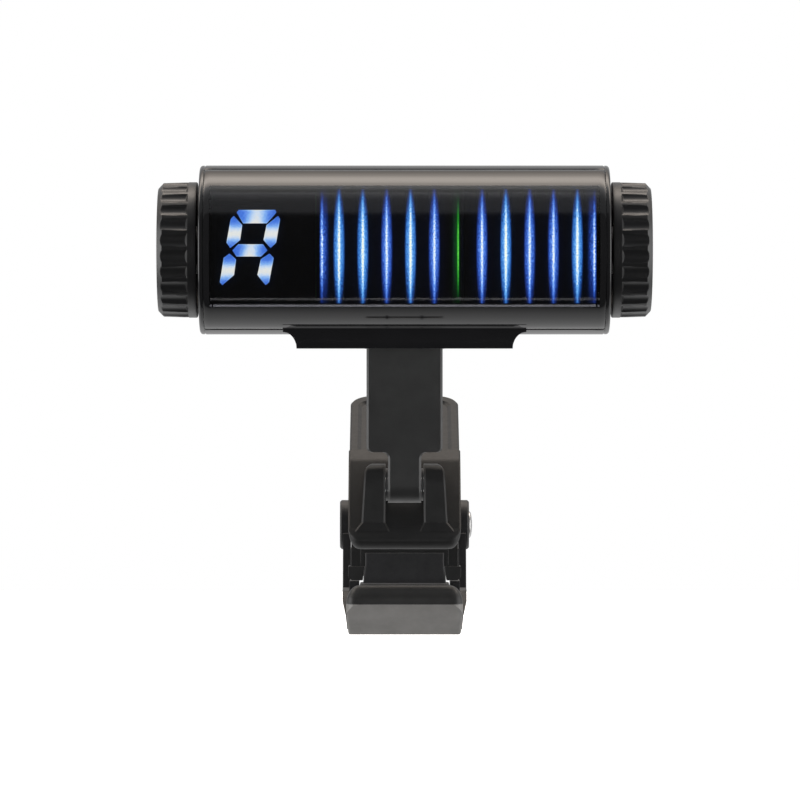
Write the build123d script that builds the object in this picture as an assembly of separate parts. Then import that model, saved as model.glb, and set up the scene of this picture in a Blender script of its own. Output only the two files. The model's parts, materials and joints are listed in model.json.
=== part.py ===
from build123d import *
import os
from math import atan2, cos, degrees, hypot, radians, sin, sqrt

# Clip-on tuner, in millimetres. +X runs along the barrel, +Z is up, and -Y faces the player.
# The origin is at the front of the clip's mouth, in the plane where its two pads meet.

# ---------------------------------------------------------------- driving dimensions
# Barrel
BARREL_R = 12.0            # outside radius of the barrel
BARREL_HALF = 29.0         # half its length, over the end caps
WALL = 1.2                 # wall of the cover and the shell
AXIS_Y = 5.4               # the barrel's axis, directly above the arm's two hinges
AXIS_Z = 47.3
COVER_ANGLE = 70.5         # the front cover reaches this far above and below straight ahead
SEAM_ANGLE = 0.8           # width of the seam on each side of the cover
RIM = 0.64                 # rim of an end cap, outside the shells
DOOR_ANGLE = 37.0          # half the battery door's arc, about straight back
DOOR_HALF = 24.6

# Saddle under the barrel, and the hinge in it
SADDLE_BOTTOM = 33.3
SADDLE_HALF = 15.3         # half width of its flat bottom
SADDLE_FLARE = 1.8         # how much wider it is where it meets the barrel
SADDLE_DEPTH = 3.7         # half its depth at the bottom
SADDLE_CUT = 36.6          # height of the front cover's cut-out over the saddle
HEAD_PIN_Z = 35.2
HEAD_KNUCKLE_R = 2.0
ROOF_Z = HEAD_PIN_Z + HEAD_KNUCKLE_R + 1.4    # top of the hinge's housing, inside the barrel

# Knobs
KNOB_INNER = 29.35         # distance of the inner face from the middle
KNOB_OUTER = 34.9
KNOB_R = 9.5
KNOB_RING_R = 9.62
KNOB_RING_LENGTH = 1.2
FLUTES = 26
FLUTE_DEPTH = 0.35
FLUTE_R = 1.6
SHAFT_R = 2.0
RUNNING_GAP = 0.06

# Arm
ARM_HALF = 5.4             # half width of the band
ARM_THICK = 2.6
SHOULDER_Z = 18.6
TONGUE_HALF = 2.35
TONGUE_R = 2.6             # knuckle at the tongue's end
ARM_PIN_Z = 14.0
PIN_R = 1.0

# Clip
PIVOT_Y = 20.0
PIVOT_Z = 8.0
PIVOT_PIN_R = 1.2
BOSS_R = 3.55              # round boss on each side plate
BOSS_OUT = 9.3
PLATE_IN = 7.75            # inner and outer faces of the side plates
PLATE_OUT = 8.85
RAIL_IN = 6.45             # inner faces of the rails beside the lower pad
DECK_HALF = 8.0
DECK_FRONT_Y = 1.0
DECK_FRONT_Z = 6.5
DECK_BREAK = (12.0, 17.5)  # where the deck's slope eases
DECK_TOP = (14.6, 18.9)    # its back edge
LIP_Z = 4.9
EAR_IN = 2.7
EAR_OUT = 5.8
EAR_R = 2.9
HANDLE_HALF = 7.9
HANDLE_START = (13.6, 17.2)
HANDLE_END = (37.6, 26.6)
HANDLE_THICK = 2.2
WALL_IN = 6.2              # inner and outer faces of the upper lever's side walls
WALL_OUT = 7.55
JAW_BACK = 13.0            # how deep the mouth is
JAW_HALF = 8.25
NOSE_Z = -2.84
CHIN_Z = -7.3
PAD_GAP = 0.05             # each pad stops this far short of the plane between them
SPRING_R = 2.5
SPRING_WIRE = 0.9

# Inside the barrel
BOARD_Y = AXIS_Y - 3.6     # front face of the circuit board
BOARD_THICK = 1.0
CELL_R = 5.2               # AAA cell
CELL_LENGTH = 44.5
CELL_Y = AXIS_Y + 4.6
BARS = 11                  # full bars; one more at each end is half hidden
BAR_PITCH = 3.36
BAR_FIRST = -9.25
BAR_EDGE_STEP = 2.4        # from the last full bar to the half hidden one
BAR_HALF_HEIGHT = 8.5
LETTER_X = -21.8
LETTER_Z = AXIS_Z
MASK_THICK = 0.3


# ---------------------------------------------------------------- helpers
def box(x, y, z):
    """A block between the given pairs of X, Y and Z."""
    middle = ((x[0] + x[1]) / 2, (y[0] + y[1]) / 2, (z[0] + z[1]) / 2)
    return Pos(*middle) * Box(x[1] - x[0], y[1] - y[0], z[1] - z[0])


def rod(radius, x, y, z):
    """A cylinder along X, between the two values in x."""
    return Pos((x[0] + x[1]) / 2, y, z) * Rot(0, 90, 0) * Cylinder(radius, x[1] - x[0])


def profile(points, x):
    """An outline of (y, z) points carried along X."""
    face = make_face(Polyline(*[(0, y, z) for y, z in points], close=True))
    return Pos(x[0], 0, 0) * extrude(face, amount=x[1] - x[0], dir=(1, 0, 0))


def both_sides(shape):
    """The shape and its mirror image, as one group."""
    return shape + mirror(shape, about=Plane.YZ)


def barrel_point(radius, angle):
    """A (y, z) point round the barrel; the angle is up from straight ahead."""
    return AXIS_Y - radius * cos(radians(angle)), AXIS_Z + radius * sin(radians(angle))


def barrel_wedge(start, end, x):
    """A wedge from the barrel's axis to well outside it, between two angles."""
    steps = 6
    reach = 2 * BARREL_R
    angles = [start + (end - start) * i / steps for i in range(steps + 1)]
    return profile([(AXIS_Y, AXIS_Z)] + [barrel_point(reach, a) for a in angles], x)


def barrel_tube(outer, inner, x):
    return rod(outer, x, AXIS_Y, AXIS_Z) - rod(inner, x, AXIS_Y, AXIS_Z)


def turned(points, side):
    """A shape turned about the barrel's axis from (x, radius) points; side is -1 or 1."""
    face = make_face(Polyline(*[(side * x, r, 0) for x, r in points], close=True))
    return Pos(0, AXIS_Y, AXIS_Z) * revolve(face, Axis.X, 360)


def coil(radius, wire, length, turns, start, y, z):
    """A round-wire coil about an X-wise axis."""
    path = Helix(pitch=length / turns, height=length, radius=radius)
    section = Plane(origin=path @ 0, z_dir=path % 0) * Circle(wire / 2)
    return Pos(start, y, z) * Rot(0, 90, 0) * sweep(section, path)


def wire_run(points, diameter):
    """Round wire along straight runs."""
    path = Polyline(*points)
    section = Plane(origin=path @ 0, z_dir=path % 0) * Circle(diameter / 2)
    return sweep(section, path, transition=Transition.ROUND)


# ---------------------------------------------------------------- barrel
SHELL_HALF = BARREL_HALF - RIM - 0.06
INNER_R = BARREL_R - WALL


def make_front_cover():
    span = (-SHELL_HALF, SHELL_HALF)
    cover = barrel_tube(BARREL_R, INNER_R, span) & barrel_wedge(-COVER_ANGLE, COVER_ANGLE, span)
    notch_half = SADDLE_HALF + 0.3
    return cover - box((-notch_half, notch_half), (-10, AXIS_Y), (30, SADDLE_CUT))


def make_saddle():
    """A neck whose ends and front and back faces all sweep up to the barrel in hollow curves."""
    top = AXIS_Z - BARREL_R + 2.5
    flare_z = AXIS_Z - BARREL_R + 0.15
    half = SADDLE_HALF
    wide = SADDLE_HALF + SADDLE_FLARE
    outline = Line((-wide, flare_z), (-wide, top)) + Line((-wide, top), (wide, top))
    outline += Line((wide, top), (wide, flare_z)) + Line((half, SADDLE_BOTTOM), (-half, SADDLE_BOTTOM))
    for side in (-1, 1):
        middle = (side * (half + 0.45), flare_z - 0.75)
        outline += ThreePointArc((side * half, SADDLE_BOTTOM), middle, (side * wide, flare_z))
    from_front = extrude(Plane.XZ * make_face(outline.edges()), amount=20, both=True)
    deep = 5.5
    depth = SADDLE_DEPTH
    hollow_z = SADDLE_BOTTOM + 0.9
    side_view = Line((-deep, SADDLE_CUT - 0.1), (-deep, top)) + Line((-deep, top), (deep, top))
    side_view += Line((deep, top), (deep, SADDLE_CUT - 0.1))
    side_view += Line((depth, SADDLE_BOTTOM), (-depth, SADDLE_BOTTOM))
    for side in (-1, 1):
        middle = (side * (depth + 0.35), hollow_z + 0.6)
        start = (side * depth, SADDLE_BOTTOM)
        side_view += ThreePointArc(start, middle, (side * deep, SADDLE_CUT - 0.1))
    from_side = extrude(Plane.YZ * make_face(side_view.edges()), amount=wide + 1, both=True)
    return from_front & (Pos(0, AXIS_Y, 0) * from_side)


def make_rear_shell():
    span = (-SHELL_HALF, SHELL_HALF)
    gap = COVER_ANGLE + SEAM_ANGLE
    shell = barrel_tube(BARREL_R, INNER_R, span) - barrel_wedge(-gap, gap, span)
    door_gap = 0.12
    opening = barrel_wedge(
        180 - DOOR_ANGLE - 0.6, 180 + DOOR_ANGLE + 0.6, (-DOOR_HALF - door_gap, DOOR_HALF + door_gap)
    )
    shell -= opening
    cover_room = rod(BARREL_R + 0.1, span, AXIS_Y, AXIS_Z) & barrel_wedge(-gap, gap, span)
    notch_half = SADDLE_HALF + 0.2
    cover_room -= box((-notch_half, notch_half), (-10, AXIS_Y), (30, SADDLE_CUT - 0.1))
    saddle = make_saddle() - rod(INNER_R + 0.4, span, AXIS_Y, AXIS_Z) - cover_room
    pocket_half = ARM_HALF + 0.25
    housing_half = pocket_half + 1.2
    housing = box((-housing_half, housing_half), (AXIS_Y - 3.5, AXIS_Y + 3.5), (SADDLE_BOTTOM, ROOF_Z))
    shell = shell + saddle + housing
    clearance = 0.25
    pocket_r = HEAD_KNUCKLE_R + clearance
    pocket = rod(pocket_r, (-pocket_half, pocket_half), AXIS_Y, HEAD_PIN_Z)
    flare = [
        (AXIS_Y - pocket_r, HEAD_PIN_Z), (AXIS_Y + pocket_r, HEAD_PIN_Z),
        (AXIS_Y + 3.05, SADDLE_BOTTOM - 1), (AXIS_Y - 3.05, SADDLE_BOTTOM - 1),
    ]
    pocket += profile(flare, (-pocket_half, pocket_half))
    pin_hole = rod(PIN_R + 0.02, (-housing_half - 1, housing_half + 1), AXIS_Y, HEAD_PIN_Z)
    return shell - pocket - pin_hole


def make_battery_door():
    span = (-DOOR_HALF, DOOR_HALF)
    door = barrel_tube(BARREL_R, INNER_R, span)
    door &= barrel_wedge(180 - DOOR_ANGLE, 180 + DOOR_ANGLE, span)
    grip_z = AXIS_Z + 4.6
    for step in range(3):
        z = grip_z - 0.9 * step
        reach = AXIS_Y + sqrt(BARREL_R**2 - (z - AXIS_Z) ** 2)
        door -= rod(0.35, (-5, 5), reach + 0.12, z)
    return door


def make_end_cap(side):
    """A rimmed disc with a short spigot, a bearing for the knob's shaft and two screw holes."""
    bore = SHAFT_R + RUNNING_GAP
    spigot = 0.9
    outline = [
        (BARREL_HALF - RIM - spigot, bore), (BARREL_HALF - RIM - spigot, 3.6),
        (BARREL_HALF - RIM - 0.2, 3.6), (BARREL_HALF - RIM - 0.2, INNER_R - 1.1),
        (BARREL_HALF - RIM - spigot, INNER_R - 1.1), (BARREL_HALF - RIM - spigot, INNER_R - 0.1),
        (BARREL_HALF - RIM, INNER_R - 0.1), (BARREL_HALF - RIM, BARREL_R - 0.02),
        (BARREL_HALF - 0.42, BARREL_R - 0.06), (BARREL_HALF - 0.12, BARREL_R - 0.28),
        (BARREL_HALF, BARREL_R - 0.6), (BARREL_HALF, bore),
    ]
    cap = turned(outline, side)
    for z in screw_heights():
        x = sorted((side * (BARREL_HALF - 2), side * (BARREL_HALF + 1)))
        cap -= rod(0.7, x, AXIS_Y, z)
        head = sorted((side * (BARREL_HALF - 0.42), side * (BARREL_HALF + 1)))
        cap -= rod(1.35, head, AXIS_Y, z)
    return cap


def screw_heights():
    return AXIS_Z - 6.6, AXIS_Z + 6.6


def make_end_cap_screws():
    screws = []
    for side in (-1, 1):
        for z in screw_heights():
            shank = rod(0.6, sorted((side * 23.3, side * (BARREL_HALF - 0.4))), AXIS_Y, z)
            head_x = sorted((side * (BARREL_HALF - 0.4), side * (BARREL_HALF - 0.02)))
            head = rod(1.25, head_x, AXIS_Y, z)
            slot = box(sorted((side * (BARREL_HALF - 0.2), side * BARREL_HALF)),
                       (AXIS_Y - 1.3, AXIS_Y + 1.3), (z - 0.15, z + 0.15))
            screws.append(shank + head - slot)
    return Compound(screws)


# ---------------------------------------------------------------- knobs
def make_knob(side):
    """A hollow cap with a plain ring at its inner edge and scalloped flutes to its chamfer."""
    ring_end = KNOB_INNER + KNOB_RING_LENGTH
    outline = [
        (KNOB_INNER, 8.3), (KNOB_INNER, KNOB_RING_R - 0.15), (KNOB_INNER + 0.15, KNOB_RING_R),
        (ring_end, KNOB_RING_R), (ring_end, KNOB_R), (KNOB_OUTER - 0.75, KNOB_R - 0.12),
        (KNOB_OUTER, KNOB_R - 0.87), (KNOB_OUTER, 7.2), (KNOB_OUTER - 0.3, 6.9),
        (KNOB_OUTER - 0.3, 0), (KNOB_OUTER - 1.35, 0), (KNOB_OUTER - 1.35, SHAFT_R + 0.01),
        (KNOB_INNER + 0.1, SHAFT_R + 0.01), (KNOB_INNER + 0.1, 3.4), (KNOB_OUTER - 1.6, 3.4),
        (KNOB_OUTER - 1.6, 8.3),
    ]
    knob = turned(outline, side)
    reach = KNOB_R - FLUTE_DEPTH + FLUTE_R
    x = sorted((side * ring_end, side * (KNOB_OUTER + 1)))
    cutters = []
    for i in range(FLUTES):
        y, z = barrel_point(reach, 360 * (i + 0.5) / FLUTES)
        cutters.append(rod(FLUTE_R, x, y, z))
    return knob - Compound(cutters)


def make_knob_shaft(side):
    x = sorted((side * 24.3, side * (KNOB_OUTER - 1.4)))
    shaft = rod(SHAFT_R, x, AXIS_Y, AXIS_Z)
    collar = sorted((side * 26.75, side * 27.35))
    return shaft + rod(2.9, collar, AXIS_Y, AXIS_Z)


def make_return_spring(side):
    """A light coil round the knob's hub, between the end cap and the knob."""
    turns = 3
    length = 2.4
    start = side * (BARREL_HALF + 0.85)
    if side < 0:
        start -= length
    return coil(4.4, 0.45, length, turns, start, AXIS_Y, AXIS_Z)


def make_switch(side):
    x = sorted((side * 23.95, side * 26.6))
    body = box(x, (BOARD_Y + BOARD_THICK, AXIS_Y + 3.0), (AXIS_Z - 3.6, AXIS_Z + 3.6))
    bore = rod(SHAFT_R + RUNNING_GAP, sorted((side * 24.2, side * 27)), AXIS_Y, AXIS_Z)
    return body - bore


# ---------------------------------------------------------------- inside the barrel
def bar_positions():
    full = [BAR_FIRST + BAR_PITCH * i for i in range(BARS)]
    return [full[0] - BAR_EDGE_STEP] + full + [full[-1] + BAR_EDGE_STEP]


def make_main_board():
    half = 26.5
    board = box((-half, half), (BOARD_Y, BOARD_Y + BOARD_THICK), (AXIS_Z - 9.8, AXIS_Z + 9.8))
    board -= box((-7.8, 7.8), (BOARD_Y - 1, BOARD_Y + 2), (AXIS_Z - 10, ROOF_Z + 0.9))
    for x in (-19, 19):
        for z in (AXIS_Z - 8.6, AXIS_Z + 8.6):
            board -= Pos(x, BOARD_Y, z) * Rot(90, 0, 0) * Cylinder(0.7, 4)
    return board


def make_strobe_leds():
    lamps = [
        box((x - 0.6, x + 0.6), (BOARD_Y - 0.8, BOARD_Y), (AXIS_Z - 1.1, AXIS_Z + 1.1))
        for x in bar_positions()
    ]
    return Compound(lamps)


def make_strobe_light_guide():
    """A clear sheet with one upright lens rib in front of each lamp."""
    front = BOARD_Y - 1.7
    left = bar_positions()[0] - 0.8
    right = bar_positions()[-1] + 0.6
    top = AXIS_Z + BAR_HALF_HEIGHT
    bottom = AXIS_Z - BAR_HALF_HEIGHT
    guide = box((left, right), (front, BOARD_Y - 0.9), (bottom, top))
    for x in bar_positions()[1:-1]:
        rib = Pos(x, front, AXIS_Z) * Cylinder(0.75, 2 * BAR_HALF_HEIGHT)
        guide += rib & box((x - 1, x + 1), (front - 1, front), (bottom, top))
    return guide


SEGMENT = 1.75             # width of a segment
LETTER_HALF = 2.62         # half the spacing of the upright segments
LETTER_RISE = 4.7          # from the middle segment to the top one
SLANT = 10.0               # lean of the letter, degrees


def make_segment(x, z, angle, length):
    """A six-sided bar, leaning with the letter."""
    half = length / 2
    edge = SEGMENT / 2
    corners = [(-half, 0), (-half + edge, edge), (half - edge, edge),
               (half, 0), (half - edge, -edge), (-half + edge, -edge)]
    points = []
    for u, v in corners:
        px = x + u * cos(radians(angle)) - v * sin(radians(angle))
        pz = z + u * sin(radians(angle)) + v * cos(radians(angle))
        points.append((LETTER_X + px + pz * sin(radians(SLANT)), 0, LETTER_Z + pz))
    face = make_face(Polyline(*points, close=True))
    return Pos(0, BOARD_Y - 1.7, 0) * extrude(face, amount=0.5, dir=(0, 1, 0))


def make_digit_segments():
    upright = LETTER_RISE - 0.3
    level = 2 * LETTER_HALF - 0.3
    segments = [make_segment(0, k * LETTER_RISE, 0, level) for k in (-1, 0, 1)]
    for side in (-1, 1):
        for k in (-1, 1):
            segments.append(make_segment(side * LETTER_HALF, k * LETTER_RISE / 2, 90, upright))
    return Compound(segments)


def letter_window(margin):
    """The X and Z limits of the letter display, grown by a margin."""
    half = 4.9 + margin
    rise = 6.3 + margin
    return (LETTER_X - half, LETTER_X + half), (LETTER_Z - rise, LETTER_Z + rise)


def make_digit_display():
    x, z = letter_window(0.1)
    return box(x, (BOARD_Y - 1.15, BOARD_Y), z)


def make_display_mask():
    """A black sheet in front of the board with a window for the letter and one for the bars."""
    front = BOARD_Y - 2.15
    half = 27.4
    mask = box((-half, half), (front, front + MASK_THICK), (AXIS_Z - 8.95, AXIS_Z + 8.95))
    x, z = letter_window(0.0)
    mask -= box(x, (front - 1, front + 1), z)
    left = bar_positions()[0] - 0.9
    right = bar_positions()[-1] + 0.7
    rise = BAR_HALF_HEIGHT + 0.1
    return mask - box((left, right), (front - 1, front + 1), (AXIS_Z - rise, AXIS_Z + rise))


def make_battery_tray():
    """A cradle behind the board with an end wall at each end of the cell."""
    front = BOARD_Y + BOARD_THICK + 0.1
    half = 23.9
    cradle = box((-half, half), (front, AXIS_Y + 2.6), (AXIS_Z - 7.4, AXIS_Z + 7.4))
    cradle += box((-half, half), (AXIS_Y + 2.6, AXIS_Y + 8.4), (AXIS_Z - 5.0, AXIS_Z + 5.0))
    room = CELL_LENGTH / 2 + 0.75
    cradle -= rod(CELL_R + 0.3, (-room, room), CELL_Y, AXIS_Z)
    cradle -= box((-room, room), (CELL_Y, AXIS_Y + 12), (AXIS_Z - 6, AXIS_Z + 6))
    wire_way = 5.6
    for side in (-1, 1):
        for z in screw_heights():
            cradle -= rod(0.6, sorted((side * 23.2, side * 24.5)), AXIS_Y, z)
        middle = AXIS_Z + side * wire_way
        cradle -= box((-4, 4), (front - 1, AXIS_Y - 0.4), (middle - 1.4, middle + 1.4))
    return cradle


def make_battery():
    half = CELL_LENGTH / 2
    nub = 1.0
    jacket = rod(CELL_R, (-half, half - nub), CELL_Y, AXIS_Z)
    return jacket + rod(1.9, (half - nub, half), CELL_Y, AXIS_Z)


def make_positive_contact():
    x = CELL_LENGTH / 2 + 0.1
    return box((x, x + 0.4), (CELL_Y - 3.4, CELL_Y + 3.0), (AXIS_Z - 3.2, AXIS_Z + 3.2))


def make_negative_contact():
    x = -CELL_LENGTH / 2 - 0.7
    plate = box((x, x + 0.25), (CELL_Y - 3.4, CELL_Y + 3.0), (AXIS_Z - 3.2, AXIS_Z + 3.2))
    upright = Cone(2.2, 1.2, 0.4, align=(Align.CENTER, Align.CENTER, Align.MIN))
    return plate + Pos(x + 0.25, CELL_Y, AXIS_Z) * Rot(0, 90, 0) * upright


def make_vibration_sensor():
    disc = Pos(0, AXIS_Y, ROOF_Z + 0.2) * Cylinder(3.4, 0.3)
    crystal = Pos(0, AXIS_Y, ROOF_Z + 0.42) * Cylinder(2.6, 0.14)
    return disc + crystal


# ---------------------------------------------------------------- arm
def make_arm():
    """A band that thickens smoothly toward a tongue at the bottom, with a wide knuckle at the top."""
    flare_top = 29.0
    front, back = [], []
    for i in range(13):
        rise = i / 12
        ease = rise * rise * (3 - 2 * rise)
        half = TONGUE_R + (ARM_THICK / 2 - TONGUE_R) * ease
        z = ARM_PIN_Z + (flare_top - ARM_PIN_Z) * rise
        front.append((AXIS_Y - half, z))
        back.append((AXIS_Y + half, z))
    top = [(AXIS_Y - ARM_THICK / 2, HEAD_PIN_Z), (AXIS_Y + ARM_THICK / 2, HEAD_PIN_Z)]
    body = profile(front + top + back[::-1], (-ARM_HALF, ARM_HALF))
    depth = (AXIS_Y - TONGUE_R, AXIS_Y + TONGUE_R)
    band = box((-ARM_HALF, ARM_HALF), depth, (SHOULDER_Z, HEAD_PIN_Z))
    plan = fillet(band.edges().group_by(Axis.Z)[0].filter_by(Axis.Y), 0.7)
    plan += box((-TONGUE_HALF, TONGUE_HALF), depth, (ARM_PIN_Z, SHOULDER_Z + 1))
    root = 0.9
    for side in (-1, 1):
        outer = side * (TONGUE_HALF + root)
        corner = box(sorted((side * TONGUE_HALF, outer)), depth, (SHOULDER_Z - root, SHOULDER_Z + 0.5))
        hollow = Pos(outer, AXIS_Y, SHOULDER_Z - root) * Rot(90, 0, 0) * Cylinder(root, 8)
        plan += corner - hollow
    knuckle = rod(TONGUE_R, (-TONGUE_HALF, TONGUE_HALF), AXIS_Y, ARM_PIN_Z)
    head = rod(HEAD_KNUCKLE_R, (-ARM_HALF, ARM_HALF), AXIS_Y, HEAD_PIN_Z)
    arm = (body & plan) + knuckle + head
    for z, reach in ((ARM_PIN_Z, TONGUE_HALF), (HEAD_PIN_Z, ARM_HALF)):
        arm -= rod(PIN_R + 0.03, (-reach - 1, reach + 1), AXIS_Y, z)
    recess = 0.35
    for side in (-1, 1):
        seat = sorted((side * (ARM_HALF - recess), side * (ARM_HALF + 1)))
        arm -= rod(HEAD_KNUCKLE_R - 0.3, seat, AXIS_Y, HEAD_PIN_Z)
    return arm


def make_head_pin():
    reach = ARM_HALF + 1.35
    return rod(PIN_R, (-reach, reach), AXIS_Y, HEAD_PIN_Z)


def washer_pair(inner, outer, start, thick, z):
    washers = []
    for side in (-1, 1):
        x = sorted((side * start, side * (start + thick)))
        washers.append(rod(outer, x, AXIS_Y, z) - rod(inner, x, AXIS_Y, z))
    return Compound(washers)


def make_head_washers():
    return washer_pair(PIN_R + 0.05, HEAD_KNUCKLE_R - 0.35, ARM_HALF - 0.32, 0.5, HEAD_PIN_Z)


def make_arm_pin():
    reach = EAR_OUT - 0.25
    return rod(PIN_R, (-reach, reach), AXIS_Y, ARM_PIN_Z)


def make_arm_washers():
    return washer_pair(PIN_R + 0.05, 2.3, TONGUE_HALF + 0.04, EAR_IN - TONGUE_HALF - 0.08, ARM_PIN_Z)


# ---------------------------------------------------------------- clip
def deck_height(y):
    """Height of the sloping deck at a given depth."""
    return DECK_FRONT_Z + (y - DECK_FRONT_Y)


def make_deck():
    """The sloping top with rounded front corners and a drop to the thumb handle behind it."""
    thick = 2.4
    outline = [
        (DECK_FRONT_Y, LIP_Z), (DECK_FRONT_Y, DECK_FRONT_Z), DECK_BREAK, DECK_TOP,
        (DECK_TOP[0] + 0.2, DECK_TOP[1] - thick), (DECK_BREAK[0] + 0.6, DECK_BREAK[1] - thick),
        (DECK_FRONT_Y + 1.6, LIP_Z),
    ]
    deck = profile(outline, (-DECK_HALF, DECK_HALF))
    bowl_z = 6.1               # below this the front and the sides lean inward
    plan = Pos(0, DECK_FRONT_Y + 15, bowl_z) * RectangleRounded(2 * DECK_HALF, 30, 1.9)
    upright = extrude(plan, amount=20)
    bowl = extrude(plan, amount=1.3, dir=(0, 0, -1), taper=40)
    return deck & (upright + bowl)


def make_ear(side):
    """A lug with a rounded top round the arm's pin, an upright front and a bevelled foot."""
    y = AXIS_Y
    z = ARM_PIN_Z
    foot = 8.8
    bevel_y = DECK_FRONT_Y + 7.95 - DECK_FRONT_Z
    front = y - EAR_R
    back = 11.0
    x = sorted((side * EAR_IN, side * EAR_OUT))
    lug = rod(EAR_R, x, y, z)
    block = [
        (front, z), (front, foot), (bevel_y, 7.9), (bevel_y + 0.6, 7.4),
        (back + 0.6, deck_height(back) - 0.6), (back, z + EAR_R), (y, z + EAR_R),
    ]
    return lug + profile(block, x)


def make_handle():
    """The thumb handle: a plate with two low rims and rounded back corners."""
    (y0, z0), (y1, z1) = HANDLE_START, HANDLE_END
    length = hypot(y1 - y0, z1 - z0)
    angle = degrees(atan2(z1 - z0, y1 - y0))
    plate = box((-HANDLE_HALF, HANDLE_HALF), (0, length), (-HANDLE_THICK, 0))
    plate = fillet(plate.edges().filter_by(Axis.Z).group_by(Axis.Y)[-1], 2.9)
    groove_half = 6.4
    groove = box((-groove_half, groove_half), (-1, length - 1.6), (-0.45, 1))
    groove = fillet(groove.edges().filter_by(Axis.Z).group_by(Axis.Y)[-1], 2.4)
    plate -= groove
    for i in range(5):
        ridge_y = length - 4.0 - 1.5 * i
        plate += box((-4.6, 4.6), (ridge_y, ridge_y + 0.6), (-0.5, -0.05))
    return Pos(0, y0, z0) * Rot(angle, 0, 0) * plate


def make_upper_lever():
    lever = make_deck() + make_ear(-1) + make_ear(1) + make_handle()
    wall = [
        (DECK_FRONT_Y + 1.7, LIP_Z), (DECK_BREAK[0] + 0.8, DECK_BREAK[1] - 1.6), (27.5, 20.8),
        (PIVOT_Y + 3.3, PIVOT_Z), (PIVOT_Y, PIVOT_Z - 3.3), (JAW_BACK, 2.4), (3.2, 2.4),
    ]
    side_wall = profile(wall, (WALL_IN, WALL_OUT)) + rod(3.4, (WALL_IN, WALL_OUT), PIVOT_Y, PIVOT_Z)
    lever += both_sides(side_wall)
    lever += box((-WALL_OUT, WALL_OUT), (3.2, JAW_BACK), (2.4, LIP_Z + 0.2))
    lever += both_sides(box((5.9, 7.7), (3.3, 9.0), (2.3, 5.0)))
    for side in (-1, 1):
        ledge = [(side * x, z) for x, z in ((5.93, 0.45), (5.66, 2.45), (7.98, 2.45), (7.98, 1.0), (7.5, 0.45))]
        lever += Pos(0, 8.6, 0) * extrude(Plane.XZ * make_face(Polyline(*ledge, close=True)), amount=5.6)
    lever -= rod(PIVOT_PIN_R + RUNNING_GAP, (-10, 10), PIVOT_Y, PIVOT_Z)
    lever -= rod(PIN_R + 0.02, (-EAR_OUT + 0.2, EAR_OUT - 0.2), AXIS_Y, ARM_PIN_Z)
    tongue_room = rod(TONGUE_R + 0.25, (-EAR_IN, EAR_IN), AXIS_Y, ARM_PIN_Z)
    return lever - tongue_room


def make_upper_pad():
    """A rubber pad under the upper jaw whose front turns up under the lip; its sides flare."""
    top = 4.35
    shape = [(1.7, PAD_GAP + 0.3), (2.0, PAD_GAP), (JAW_BACK - 0.4, PAD_GAP), (JAW_BACK - 0.4, 2.3),
             (3.1, 2.3), (3.1, top), (1.7, top)]
    pad = profile(shape, (-5.85, 5.85))
    for side in (-1, 1):
        flare = Pos(side * (5.55 + 11), 0, 3.4) * Rot(90, 0, 0) * Cylinder(11, 40)
        pad -= flare
    return pad


def make_lower_jaw():
    """The block in front: a rounded nose, a chin that slopes back under it and a flat top."""
    back = 5.4
    chin_back = 5.0
    outline = [(-0.45, NOSE_Z), (-0.1, -1.1), (0.9, -0.2), (1.35, -1.9), (back, -1.9),
               (back, CHIN_Z), (chin_back, CHIN_Z)]
    block = profile(outline, (-JAW_HALF, JAW_HALF))
    plan = box((-JAW_HALF, JAW_HALF), (-0.5, back), (CHIN_Z - 1, 1))
    plan = fillet(plan.edges().filter_by(Axis.Z).group_by(Axis.Y)[0], 0.5)
    nose = box((-JAW_HALF, JAW_HALF), (-0.5, 30), (NOSE_Z + 0.1, 1))
    nose = fillet(nose.edges().filter_by(Axis.Z).group_by(Axis.Y)[0], 2.2)
    lower = box((-JAW_HALF, JAW_HALF), (-0.5, 30), (CHIN_Z - 1, NOSE_Z + 0.1))
    return block & plan & (nose + lower)


def make_lower_pad():
    pad = box((-6.35, 6.35), (1.45, JAW_BACK - 0.4), (-1.85, -PAD_GAP))
    return fillet(pad.edges().filter_by(Axis.Z), 0.8)


def make_lower_lever():
    """A channel: a floor with a handle behind, and two side plates that carry the pivot."""
    floor_top = -4.6
    plate = [
        (5.5, -4.0), (9.5, -1.2), (JAW_BACK + 0.6, -0.9), (PIVOT_Y - 3.5, PIVOT_Z - 1.2), (PIVOT_Y, PIVOT_Z),
        (PIVOT_Y + 3.4, PIVOT_Z - 1.4), (27.5, -2.4), (35, -3.4), (35, -6.6), (5.5, -6.6),
    ]
    side_plate = profile(plate, (PLATE_IN, PLATE_OUT))
    side_plate += rod(BOSS_R, (PLATE_IN, BOSS_OUT), PIVOT_Y, PIVOT_Z)
    lever = both_sides(side_plate)
    floor = box((-PLATE_OUT, PLATE_OUT), (5.5, 39.4), (-6.6, floor_top))
    lever += fillet(floor.edges().filter_by(Axis.Z).group_by(Axis.Y)[-1], 3.2)
    lever += box((-7.0, 7.0), (5.5, JAW_BACK), (floor_top, -1.9))
    lever += both_sides(box((RAIL_IN, PLATE_IN + 0.1), (5.5, JAW_BACK), (floor_top - 0.1, 0.3)))
    bevel = 0.7
    for side in (-1, 1):
        inside = side * (PLATE_OUT - bevel)
        outside = side * (PLATE_OUT + 1)
        edge = [(inside, -6.7), (outside, -6.7), (outside, -2.6), (side * PLATE_OUT, -2.6), (inside, -5.5)]
        lever -= extrude(Plane.XZ * make_face(Polyline(*edge, close=True)), amount=50, both=True)
    for i in range(5):
        ridge_y = 31.5 + 1.5 * i
        lever += box((-5.0, 5.0), (ridge_y, ridge_y + 0.6), (-6.95, -6.5))
    lever -= rod(PIVOT_PIN_R + 0.02, (-10, 10), PIVOT_Y, PIVOT_Z)
    return lever


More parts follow.
